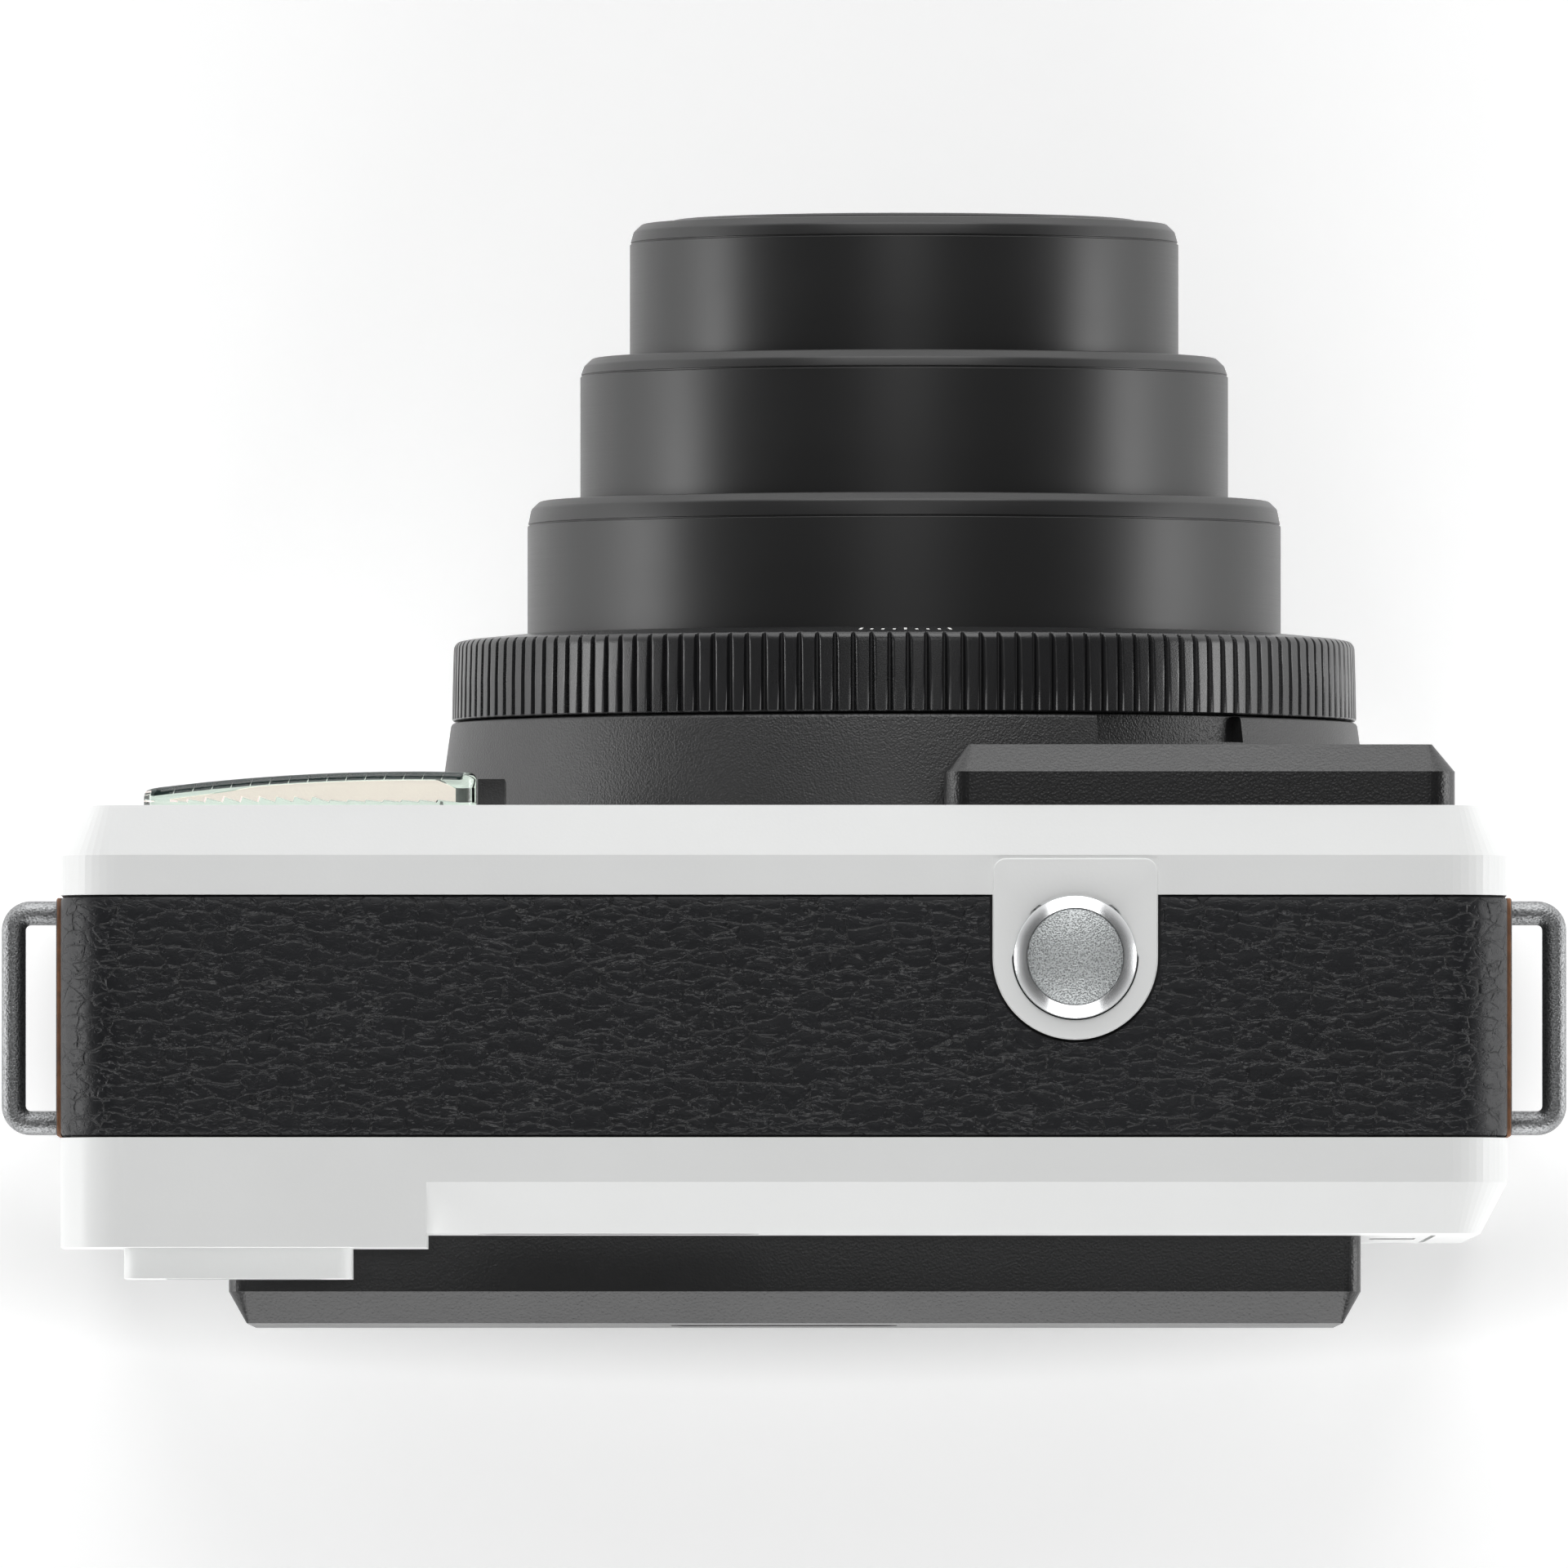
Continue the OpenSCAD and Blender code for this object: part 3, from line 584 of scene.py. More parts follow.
FRAME_GREY = MouldedPlastic("frame_grey_plastic", (0.05, 0.05, 0.052), 0.55, 0.22, 0.01, 0.08, 0.4)
BATTERY_GREY = MouldedPlastic("battery_casing", (0.075, 0.08, 0.09), 0.5, 0.2, 0.006, 0.06, 0.4)
SLEEVE_BLUE = MouldedPlastic("capacitor_sleeve", (0.01, 0.014, 0.05), 0.3, 0.4, 0.003, 0.06, 0.5)
GEAR_IVORY = MouldedPlastic("gear_acetal", (0.72, 0.7, 0.62), 0.4, 0.3, 0.003, 0.03, 0.5)
FILM_CARD = MouldedPlastic("film_card", (0.75, 0.73, 0.66), 0.7, 0.12, 0.01, 0.03, 0.3)
# painted light: the diffuser glows cream, standing in for light carried into it through the tinted cover; the
# flash is not firing
DIFFUSER_PAINTED_GLOW = MouldedPlastic(
    "flash_diffuser", (0.92, 0.82, 0.66), 0.45, 0.3, 0.01, 0.03, 0.4, 0.0, (1.1, 0.86, 0.9))
FLASH_RIM = MouldedPlastic("flash_rim_tint", (0.035, 0.062, 0.064), 0.3, 0.2, 0.004, 0.1, 0.5)
LAMP_RED = MouldedPlastic("lamp_red", (0.35, 0.012, 0.01), 0.18, 0.5, 0.002, 0.1, 0.6, 0.6)
DISPLAY_SMOKE = MouldedPlastic("display_smoke", (0.018, 0.022, 0.02), 0.1, 0.5, 0.001, 0.1, 0.6, 0.8)
ROLLER_RUBBER = MouldedPlastic("roller_rubber", (0.02, 0.02, 0.022), 0.8, 0.15, 0.01, 0.08, 0.3)
INDEX_WHITE = MouldedPlastic("index_paint", (0.85, 0.85, 0.83), 0.5, 0.1, 0.003, 0.03, 0.4)
AMBER = ClearSolid("amber_window", (0.85, 0.5, 0.1), 0.08, 1.49)
# the second colour is the painted glint along the leather's fine creases
LEATHER = GrainedLeather("black_leather", (0.0045, 0.005, 0.0068), (0.045, 0.047, 0.054))
RAW_EDGE = RawLeatherEdge("raw_leather_edge")
LUG_METAL = BlastedMetal("blasted_lug_metal", (0.34, 0.345, 0.35), 0.2, 0.05, 0.38, 0.55)
DISC_METAL = BlastedMetal("blasted_disc_metal", (0.72, 0.745, 0.75), 0.15, 0.05, 0.46, 0.82)
BRIGHT_METAL = TurnedMetal("bright_turned_metal", (0.86, 0.87, 0.88), 0.22, 1.0, 0.05, 0.001)
PLAIN_STEEL = TurnedMetal("plain_steel", (0.55, 0.55, 0.56), 0.32, 1.0, 0.06, 0.002)
BARREL_METAL = TurnedMetal("anodised_barrel", (0.013, 0.013, 0.0133), 0.37, 0.0, 0.05, 0.0022, 0.55)
TRIM_METAL = TurnedMetal("anodised_trim", (0.03, 0.03, 0.031), 0.3, 0.0, 0.05, 0.002, 0.6)
FLASH_CLEAR = ClearSolid("flash_clear_plastic", (0.66, 0.76, 0.68), 0.015, 1.49)
WINDOW_CLEAR = ClearSolid("clear_window", (0.93, 0.95, 0.95), 0.01, 1.5)
LENS_COAT = CoatedGlass("coated_front_glass", (0.004, 0.006, 0.012), (0.05, 0.03, 0.09))
MIRROR = Silvered("silvered_mirror")
BOARD = PrintedBoard("circuit_board_mask")


# ---------------------------------------------------------------- mesh work


def arc(centre: Flat, radius: float, start: float, end: float, steps: int) -> list[Flat]:
    """Points along an arc.

    Args:
        centre: the arc's centre.
        radius: its radius.
        start: first angle in degrees.
        end: last angle in degrees.
        steps: number of chords.

    Returns:
        steps + 1 points.
    """
    angles = [math.radians(start + (end - start) * k / steps) for k in range(steps + 1)]
    return [(centre[0] + radius * math.cos(a), centre[1] + radius * math.sin(a)) for a in angles]


def rounded(corners: Sequence[tuple[float, float, float]], steps: int = 4) -> list[Flat]:
    """A closed outline with its corners rounded.

    Args:
        corners: (x, y, radius) of each corner, in order.
        steps: chords in each rounded corner.

    Returns:
        The outline's points.
    """
    out: list[Flat] = []
    count = len(corners)
    for k, (x, y, radius) in enumerate(corners):
        here = Vector((x, y))
        before = Vector(corners[k - 1][:2]) - here
        after = Vector(corners[(k + 1) % count][:2]) - here
        if radius <= 0:
            out.append((x, y))
            continue
        half = before.angle(after) / 2
        reach = min(radius / math.tan(half), before.length * 0.499, after.length * 0.499)
        middle = here + (before.normalized() + after.normalized()).normalized() * (reach / math.cos(half))
        first = here + before.normalized() * reach - middle
        last = here + after.normalized() * reach - middle
        turn = first.angle_signed(last)
        for i in range(steps + 1):
            out.append(tuple(middle + Matrix.Rotation(-turn * i / steps, 2) @ first))
    return out


def rectangle(x: Flat, z: Flat, radius: float, steps: int = 6) -> list[Flat]:
    """A rounded rectangle, anticlockwise.

    Args:
        x: lowest and highest x.
        z: lowest and highest z.
        radius: corner radius.
        steps: chords in each corner.

    Returns:
        The outline's points.
    """
    spots = [((x[0], z[0]), 180), ((x[1], z[0]), 270), ((x[1], z[1]), 0), ((x[0], z[1]), 90)]
    out: list[Flat] = []
    for (cx, cz), start in spots:
        centre = (cx + radius if cx == x[0] else cx - radius, cz + radius if cz == z[0] else cz - radius)
        out += arc(centre, radius, start, start + 90, steps)
    return out


@dataclass
class Draft:
    """A mesh being built, in millimetres."""

    points: list[Point] = field(default_factory=list)
    faces: list[tuple[int, ...]] = field(default_factory=list)

    def rows(self, rows: Sequence[Sequence[Point]], around: bool = True, closed: bool = False) -> "Draft":
        """Adds a skin between rows of equal length.

        Args:
            rows: the rows, in order.
            around: whether each row closes on itself.
            closed: whether the last row joins the first.

        Returns:
            This draft.
        """
        start = len(self.points)
        width = len(rows[0])
        for row in rows:
            self.points += row
        for i in range(len(rows) if closed else len(rows) - 1):
            a = start + i * width
            b = start + (i + 1) % len(rows) * width
            for j in range(width if around else width - 1):
                k = (j + 1) % width
                self.faces.append((a + j, a + k, b + k, b + j))
        return self

    def cap(self, row: Sequence[Point], flip: bool = False) -> "Draft":
        """Closes a row with one face."""
        start = len(self.points)
        self.points += row
        order = list(range(start, start + len(row)))
        self.faces.append(tuple(reversed(order)) if flip else tuple(order))
        return self

    def add(self, other: "Draft") -> "Draft":
        """Adds another draft to this one."""
        start = len(self.points)
        self.points += other.points
        self.faces += [tuple(i + start for i in face) for face in other.faces]
        return self

    def build(self, name: str, sharp: float = 32.0) -> bpy.types.Object:
        """Makes the object, with merged seams, outward faces and crisp edges.

        Args:
            name: the object's name.
            sharp: angle in degrees above which an edge stays sharp.

        Returns:
            The new object, in metres.
        """
        mesh = bpy.data.meshes.new(name)
        mesh.from_pydata([tuple(c * MM for c in p) for p in self.points], [], self.faces)
        work = bmesh.new()
        work.from_mesh(mesh)
        bmesh.ops.remove_doubles(work, verts=work.verts, dist=0.002 * MM)
        bmesh.ops.recalc_face_normals(work, faces=work.faces)
        work.to_mesh(mesh)
        work.free()
        mesh.shade_smooth()
        mesh.set_sharp_from_angle(angle=math.radians(sharp))
        piece = bpy.data.objects.new(name, mesh)
        bpy.context.scene.collection.objects.link(piece)
        return piece


def extruded(outline: Sequence[Flat], back: float, front: float) -> Draft:
    """A plate drawn in X and Z, between two depths.

    Args:
        outline: the drawing, anticlockwise.
        back: depth of one face.
        front: depth of the other.

    Returns:
        The closed draft.
    """
    rows = [[(x, y, z) for x, z in outline] for y in (back, front)]
    return Draft().rows(rows).cap(rows[0]).cap(rows[-1], True)


def shrink(outline: Sequence[Flat]) -> list[Flat]:
    """Outward normals at each point of an outline, scaled so that offsets stay even.

    Args:
        outline: the outline, anticlockwise.

    Returns:
        One normal for each point.
    """
    out: list[Flat] = []
    count = len(outline)
    for k in range(count):
        a, b, c = Vector(outline[k - 1]), Vector(outline[k]), Vector(outline[(k + 1) % count])
        first = (b - a).normalized() if (b - a).length > 1e-6 else (c - b).normalized()
        last = (c - b).normalized() if (c - b).length > 1e-6 else first
        one, two = Vector((first.y, -first.x)), Vector((last.y, -last.x))
        mean = (one + two).normalized()
        out.append(tuple(mean / max(mean.dot(one), 0.5)))
    return out


def turned(
    profile: Sequence[Flat], axis: Axis, centre: Flat, steps: int = 160,
    bend: Callable[[float, float, float], float] | None = None,
) -> Draft:
    """Turns a closed profile round an axis.

    Args:
        profile: (radius, distance along the axis) points.
        axis: the axis to turn about.
        centre: where the axis lies, in the two other directions.
        steps: number of steps round.
        bend: gives a new radius from radius, distance and angle in turns.

    Returns:
        The draft.
    """
    rows = []
    for radius, along in profile:
        row = []
        for k in range(steps):
            share = k / steps
            angle = share * math.tau
            r = bend(radius, along, share) if bend else radius
            u, v = centre[0] + r * math.cos(angle), centre[1] + r * math.sin(angle)
            row.append((u, -along, v) if axis is Axis.LENS else (u, v, along))
        rows.append(row)
    return Draft().rows(rows, True, True)


def swept(path: Sequence[Vector], radius: float, sides: int) -> Draft:
    """A round bar along a path that lies in one level plane.

    Args:
        path: points of the centre line.
        radius: the bar's radius.
        sides: points round the bar.

    Returns:
        The closed draft.
    """
    rows = []
    for k, spot in enumerate(path):
        ahead = (path[min(k + 1, len(path) - 1)] - path[max(k - 1, 0)]).normalized()
        across = ahead.cross(Vector((0, 0, 1))).normalized()
        ring = []
        for j in range(sides):
            a = j * math.tau / sides
            ring.append(tuple(spot + across * (radius * math.cos(a)) + Vector((0, 0, radius * math.sin(a)))))
        rows.append(ring)
    return Draft().rows(rows).cap(rows[0]).cap(rows[-1], True)


def carve(piece: bpy.types.Object, cutters: Iterable[Draft]) -> None:
    """Cuts drafts out of a piece, for good.

    Args:
        piece: the piece to cut.
        cutters: closed drafts.
    """
    for cutter in cutters:
        tool = cutter.build("cutter")
        change = piece.modifiers.new("cut", "BOOLEAN")
        change.operation = "DIFFERENCE"
        change.solver = "EXACT"
        change.object = tool
        settle(piece)
        bpy.data.objects.remove(tool)


def settle(piece: bpy.types.Object) -> None:
    """Applies a piece's modifiers to its mesh.

    Args:
        piece: the piece, whose mesh is replaced.
    """
    graph = bpy.context.evaluated_depsgraph_get()
    mesh = bpy.data.meshes.new_from_object(piece.evaluated_get(graph))
    piece.modifiers.clear()
    piece.data = mesh
    mesh.set_sharp_from_angle(angle=math.radians(32))


# ---------------------------------------------------------------- putting pieces in place


def front_of(low: Sequence[float], high: Sequence[float]) -> tuple[Flat, float, float]:
    """Measures a node's box from the front, in millimetres.

    Args:
        low: the box's lowest corner, in metres.
        high: its highest corner.

    Returns:
        Its centre in X and Z, how far forwards it reaches, and half its width.
    """
    centre = ((low[0] + high[0]) / 2 / MM, (low[2] + high[2]) / 2 / MM)
    return centre, -low[1] / MM, (high[0] - low[0]) / 2 / MM


class Bench:
    """Gives pieces their finish and body, and dresses the frame's own nodes."""

    pieces = 0

    @classmethod
    def fit(
        cls, piece: bpy.types.Object, body: str, slot: str, finish: Finish, stands_for: Sequence[str] = (),
    ) -> bpy.types.Object:
        """Puts a new piece on its body.

        Args:
            piece: the piece, in place.
            body: the body it rides on.
            slot: the record's material slot; not used.
            finish: its finish, unless it already has materials.
            stands_for: CAD nodes that it replaces.

        Returns:
            The piece.
        """
        if not piece.data.materials:
            piece.data.materials.append(finish.material())
        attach(piece, body)
        if stands_for:
            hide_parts(*stands_for)
        cls.pieces += 1
        LOG.info("%s rides on %s in %s", piece.name, body, finish.name)
        return piece

    @classmethod
    def dress_all(cls, *rows: tuple) -> None:
        """Dresses several nodes, each row holding the arguments of dress."""
        for row in rows:
            cls.dress(*row)

    @classmethod
    def dress(cls, name: str, finish: Finish, edge: float = 0.0, angle: float = 35.0) -> bpy.types.Object:
        """Gives a CAD node its finish, and softens its edges with modifiers.

        Args:
            name: the node.
            finish: its finish.
            edge: width of the softened edges in millimetres, or 0 for none.
            angle: edges sharper than this are softened, in degrees.

        Returns:
            The node's object.
        """
        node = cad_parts[name]
        node.data.materials.clear()
        node.data.materials.append(finish.material())
        if edge:
            weld = node.modifiers.new("weld", "WELD")
            weld.merge_threshold = 0.003 * MM
            bevel = node.modifiers.new("edges", "BEVEL")
            bevel.width = edge * MM
            bevel.segments = 3
            bevel.limit_method = "ANGLE"
            bevel.angle_limit = math.radians(angle)
            bevel.harden_normals = False
            bevel.use_clamp_overlap = True
            shade = node.modifiers.new("shade", "WEIGHTED_NORMAL")
            shade.keep_sharp = True
            shade.weight = 100
        cls.pieces += 1
        LOG.info("%s wears %s", name, finish.name)
        return node


# ---------------------------------------------------------------- the casing


@dataclass
class Casing:
    """Both shells, the frame between them, the leather and the strap lugs."""

    half_width: float = 56.7
    height: float = 93.0
    corner: float = 5.0
    band: float = 9.5
    leather: float = 0.8
    edge: float = 0.17
    bezel: tuple[float, float, float] = (-22.8, -4.6, 6.42)
    pad_rows: Flat = (8.0, 87.0)
    lug_radius: float = 0.95
    lug_reach: float = 61.5
    lug_half: float = 9.2
    lug_height: float = 80.0
    slot_depth: float = -1.6

    def build(self) -> None:
        """Builds and dresses every piece of the casing."""
        self.shells()
        self.leather_band()
        for side in Side:
            self.pad(side)
            self.lug(side)
        self.bezel_plate()
        Bench.dress("mid_frame", FRAME_GREY, 0.15)
        Bench.dress("tripod_socket", PLAIN_STEEL, 0.2)
        Bench.dress("case_screws", PLAIN_STEEL, 0.06)
        Bench.dress("exit_slot_bezel", SMOOTH_BLACK, 0.2)

    def shells(self) -> None:
        """Dresses the two shells, with softened edges."""
        Bench.dress("front_shell", WHITE_SHELL, self.edge, 18.0)
        Bench.dress("rear_shell", WHITE_SHELL, self.edge, 18.0)

    def outline(self) -> list[Flat]:
        """The body's outline, anticlockwise, with points at even distances."""
        span = (-self.half_width, self.half_width)
        return self.denser(rectangle(span, (0.0, self.height), self.corner, 14), 1.0)

    def leather_band(self) -> None:
        """A band of leather whose long edges are rolled over, with its cut-outs."""
        section = [(-self.band + 0.12, self.leather), (-self.band + 0.12, 0.3), (-self.band + 0.2, 0.1),
                   (-self.band + 0.42, 0.01)]
        section += [(-self.band + 1.0 + k * (2 * self.band - 2.0) / 12, 0.0) for k in range(13)]
        section += [(-y, inset) for y, inset in reversed(section[:4])]
        rows = []
        for y, inset in section:
            flat = self.outline()
            normals = shrink(flat)
            rows.append([(p[0] - n[0] * inset, y, p[1] - n[1] * inset) for p, n in zip(flat, normals)])
        band = Draft().rows(rows, True, True).build("leather_band")
        x, y, radius = self.bezel
        hole = arc((x, y), radius + 0.28, 0, 180, 24)
        hole += [(x - radius - 0.28, -12.0), (x + radius + 0.28, -12.0)]
        bezel_cut = Draft().rows([[(px, py, z) for px, py in hole] for z in (89.0, 97.0)])
        bezel_cut.cap([(px, py, 89.0) for px, py in hole]).cap([(px, py, 97.0) for px, py in hole], True)
        low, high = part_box("battery_door")
        hatch = extruded(rectangle((low[0] / MM - 0.1, high[0] / MM + 0.1), (-3.0, 4.0), 0.2, 2), -12.0, -7.9)
        socket = turned([(0.001, -3.0), (4.5, -3.0), (4.5, 5.0), (0.001, 5.0)], Axis.UP, (0.0, 0.0), 48)
        slot = extruded(
            rectangle((50.0, 60.0), (12.5, 69.5), 0.3, 2), self.slot_depth - 1.8, self.slot_depth + 1.8)
        carve(band, [bezel_cut, hatch, socket, slot])
        Bench.fit(band, "casing", "black_leather", LEATHER, ["leather_wrap"])

    def pad(self, side: Side) -> None:
        """A thick leather patch with a black face and a raw brown edge.

        Args:
            side: the side of the camera that it covers.
        """
        edge = self.band - 0.15
        name = "side_pad_" + side.name.lower()
        loop = rectangle((-edge, edge), self.pad_rows, 1.2, 5)
        loop = self.denser(loop, 1.0)
        normals = shrink(loop)
        levels = [(0.01, 0.0), (0.24, 0.0), (0.33, 0.04), (0.38, 0.12), (0.4, 0.3)]
        rows = [[(side.value * (self.half_width + out), p[0] - n[0] * d, p[1] - n[1] * d)
                 for p, n in zip(loop, normals)] for out, d in levels]
        pad = Draft().rows(rows).cap(rows[0]).cap(rows[-1], True).build(name + "_leather")
        pad.data.materials.append(LEATHER.material())
        pad.data.materials.append(RAW_EDGE.material())
        limit = (self.half_width + 0.3) * MM
        for face in pad.data.polygons:
            face.material_index = 1 if abs(face.center.x) < limit and abs(face.normal.x) < 0.6 else 0
        cutters = []
        if side is Side.LEFT:
            cutters.append(extruded(
                rectangle((50.0, 60.0), (12.5, 69.5), 0.3, 2), self.slot_depth - 1.8, self.slot_depth + 1.8))
        carve(pad, cutters)
        Bench.fit(pad, "casing", "black_leather", LEATHER, [name])

    @staticmethod
    def denser(loop: Sequence[Flat], stride: float) -> list[Flat]:
        """Adds points so that none are further apart than stride.

        Args:
            loop: the closed outline.
            stride: greatest distance between neighbours.

        Returns:
            The denser outline.
        """
        out: list[Flat] = []
        for k, spot in enumerate(loop):
            here, after = Vector(spot), Vector(loop[(k + 1) % len(loop)])
            parts = max(1, math.ceil((after - here).length / stride))
            out += [tuple(here.lerp(after, i / parts)) for i in range(parts)]
        return out

    def lug(self, side: Side) -> None:
        """A bent bar for the strap, sunk into the pad.

        Args:
            side: the side of the camera that it stands on.
        """
        sign = side.value
        reach = self.lug_reach - self.lug_radius
        arm = self.lug_half - self.lug_radius
        bend = 1.35
        start = self.half_width - self.leather
        path = [(start, -arm), (start + 1.5, -arm)]
        path += arc((reach - bend, -arm + bend), bend, -90, 0, 10)
        path += arc((reach - bend, arm - bend), bend, 0, 90, 10)
        path += [(start + 1.5, arm), (start, arm)]
        spots = [Vector((sign * x, y, self.lug_height)) for x, y in path]
        lug = swept(spots, self.lug_radius, 28)
        piece = lug.build("strap_bar_" + side.name.lower(), 60)
        Bench.fit(piece, "casing", "blasted_metal", LUG_METAL, ["strap_lug_" + side.name.lower()])

    def bezel_plate(self) -> None:
        """The white tongue round the release button: a foot let into the shell, and a raised face."""
        x, y, radius = self.bezel
        front = -12.33
        hole, steps = 4.94, 40
        top, low, rim = self.height + 0.35, self.height - self.leather, 0.15
        draft = Draft()
        parts = ((0.01, low, self.height, 0.01, 0.05), (1.0, self.height, top, rim, 0.0))
        for corner, bottom, crown, soft, grow in parts:
            half, near = radius + grow, front - grow
            loop = arc((x, y), half, 0, 180, steps)
            loop += arc((x - half + corner, near + corner), corner, 180, 270, 6)
            loop += arc((x + half - corner, near + corner), corner, 270, 360, 6)
            normals = shrink(loop)
            levels = [(bottom, 0.0), (crown - soft, 0.0), (crown - 0.3 * soft, 0.3 * soft), (crown, soft)]
            rows = [[(p[0] - n[0] * d, p[1] - n[1] * d, z) for p, n in zip(loop, normals)] for z, d in levels]
            angles = [math.atan2(p[1] - y, p[0] - x) for p in loop]
            ring = [(hole + soft, crown), (hole + 0.3 * soft, crown - 0.3 * soft), (hole, crown - soft),
                    (hole, bottom)]
            rows += [[(x + r * math.cos(a), y + r * math.sin(a), z) for a in angles] for r, z in ring]
            draft.rows(rows, True, True)
        plate = draft.build("shutter_bezel_plate", 40)
        Bench.fit(plate, "casing", "white_plastic", WHITE_SHELL, ["shutter_bezel"])


# ---------------------------------------------------------------- the lens


@dataclass
class Barrel:
    """Sizes of one telescoping stage, in millimetres forwards of the band's middle."""

    node: str
    body: str
    radius: float
    flange: float
    bore: float
    mouth: float
    tail: float
    flange_end: float
    front: float
    groove: float


@dataclass
class Lens:
    """The fixed mount, the ridged ring, three barrels and the glass."""

    axis: Flat = (-9.57, 41.0)
    ridges: int = 156
    cuts: int = 16
    groove: tuple[float, ...] = (0.05, 0.5, 0.53, 0.5, 0.25, 0.15, 0.05)
    ring_radius: float = 36.0
    ring_back: float = 24.2
    ring_front: float = 31.0
    steps: int = 192
    barrels: tuple[Barrel, ...] = (
        Barrel("barrel_outer", "outer_stage", 30.0, 31.9, 28.4, 25.9, 20.2, 24.0, 41.7, 39.85),
        Barrel("barrel_middle", "middle_stage", 25.8, 28.3, 24.2, 21.95, 37.0, 39.9, 53.1, 51.75),
        Barrel("barrel_inner", "inner_stage", 21.85, 24.1, 20.2, 18.6, 49.0, 51.4, 63.8, 62.3),
    )

    def build(self) -> None:
        """Builds every piece of the lens."""
        self.mount()
        self.ring()
        for stage in self.barrels:
            self.barrel(stage)
        self.trim_ring()
        self.glass()
        Bench.dress("lens_cell", INNER_BLACK, 0.15)
        Bench.dress("shutter_plate", PLAIN_STEEL, 0.08)
        Bench.dress("shutter_blade", PLAIN_STEEL, 0.06)
        Bench.dress("light_baffle", INNER_BLACK, 0.2)

    def mount(self) -> None:
        """The cone that the ridged ring turns on, with a finger notch in its front edge."""
        face = 16.55
        profile = rounded([
            (32.0, 8.0, 0.1), (34.4, 8.0, 0.1), (34.4, face, 0.0), (37.1, face, 0.0), (36.05, 24.05, 0.35),
            (34.9, 24.05, 0.0), (32.5, 24.05, 0.0), (32.5, 29.6, 0.1), (30.05, 29.6, 0.1), (30.05, 24.3, 0.0),
            (32.0, 24.3, 0.0)])
        piece = turned(profile, Axis.LENS, self.axis, self.steps).build("lens_mount_cone")
        start, end = 90 + 24.7, 90 + 47.3
        outer = arc(self.axis, 39.5, start, end, 24)
        inner = arc(self.axis, 35.1, end, start, 24)
        notch = extruded(rounded([(*p, 0.0) for p in outer + inner]), -22.0, -26.0)
        carve(piece, [notch])
        Bench.fit(piece, "casing", "black_plastic", MOUNT_BLACK, ["lens_mount"])

    def ridge(self, radius: float, along: float, share: float) -> float:
        """Cuts the grooves between the ridges.

        Args:
            radius: radius on the plain ring.
            along: distance forwards.
            share: angle in turns.

        Returns:
            The radius with its groove.
        """
        outside = radius > self.ring_radius - 0.9
        if not outside or along < self.ring_back + 0.15:
            return radius
        phase = round(share * self.ridges * self.cuts) % self.cuts
        depth = self.groove[phase] if phase < len(self.groove) else 0.0
        return min(radius, self.ring_radius - depth)

    def ring(self) -> None:
        """The control ring, whose grooves run out in scallops at its front edge."""
        face_in, bore, neck = 30.5, 32.55, 29.75
        front, back, r = self.ring_front, self.ring_back, self.ring_radius
        outer = [(r - 0.12, back), (r, back + 0.14), (r, back + 0.16), (r - 0.05, back + 3.0),
                 (r - 0.12, front - 1.25)]
        outer += [(r - 0.72 + 0.6 * math.cos(a), front - 1.2 + 0.75 * math.sin(a))
                  for a in (k * math.pi / 16 for k in range(1, 8))]
        profile = [(bore, back)] + outer + [
            (r - 0.9, front - 0.42), (r - 1.15, front - 0.36), (r - 4.6, front - 0.02), (31.0, front),
            (face_in + 0.1, front), (face_in, front - 0.1), (face_in, neck), (bore, neck)]
        steps = self.ridges * self.cuts
        piece = turned(profile, Axis.LENS, self.axis, steps, self.ridge).build("ridged_ring", 50)
        Bench.fit(piece, "lens_ring", "black_plastic", RIDGE_BLACK, ["control_ring"])
        self.index_marks()

    def index_marks(self) -> None:
        """Plain ticks on the ring's front face, one long at every fourth."""
        draft = Draft()
        count, step = 9, 1.5
        for k in range(count):
            angle = math.radians(90 + (k - (count - 1) / 2) * step)
            length = 1.7 if k % 4 == 0 else 0.9
            along = Vector((math.cos(angle), math.sin(angle)))
            across = Vector((-along.y, along.x)) * 0.11
            rows = []
            for r in (34.3 - length, 34.3):
                face = self.ring_front - 0.02 - (r - 31.4) / 3.45 * 0.34
                ends = [Vector(self.axis) + along * r + across * s for s in (-1, 1)]
                row = [(p.x, -(face + lift), p.y) for lift, p in zip((-0.05, -0.05), ends)]
                row += [(p.x, -(face + 0.02), p.y) for p in reversed(ends)]
                rows.append(row)
            draft.rows(rows).cap(rows[0]).cap(rows[-1], True)
        Bench.fit(draft.build("index_ticks"), "lens_ring", "black_plastic", INDEX_WHITE)

    def barrel(self, stage: Barrel) -> None:
        """A tube with a tail flange, a groove and a rounded rim.

        Args:
            stage: the sizes of the stage.
        """
        r, front, groove = stage.radius, stage.front, stage.groove
        wide, deep = 0.13, 0.14
        cover = 1.6
        profile = rounded([
            (stage.bore, stage.tail, 0.1), (stage.flange, stage.tail, 0.15),
            (stage.flange, stage.flange_end, 0.15), (r, stage.flange_end, 0.0),
            (r, groove - wide, 0.05), (r - deep, groove - wide * 0.5, 0.0), (r - deep, groove, 0.0),
            (r - 0.06, groove + 0.05, 0.05), (r - 0.3, front - 0.62, 0.45), (r - 0.95, front, 0.35),
            (stage.mouth + 0.28, front, 0.12), (stage.mouth, front - 0.3, 0.12),
            (stage.mouth, front - cover, 0.0), (stage.bore, front - cover, 0.0)], 5)
        piece = turned(profile, Axis.LENS, self.axis, self.steps).build(stage.node + "_tube")
        Bench.fit(piece, stage.body, "dark_metal", BARREL_METAL, [stage.node])

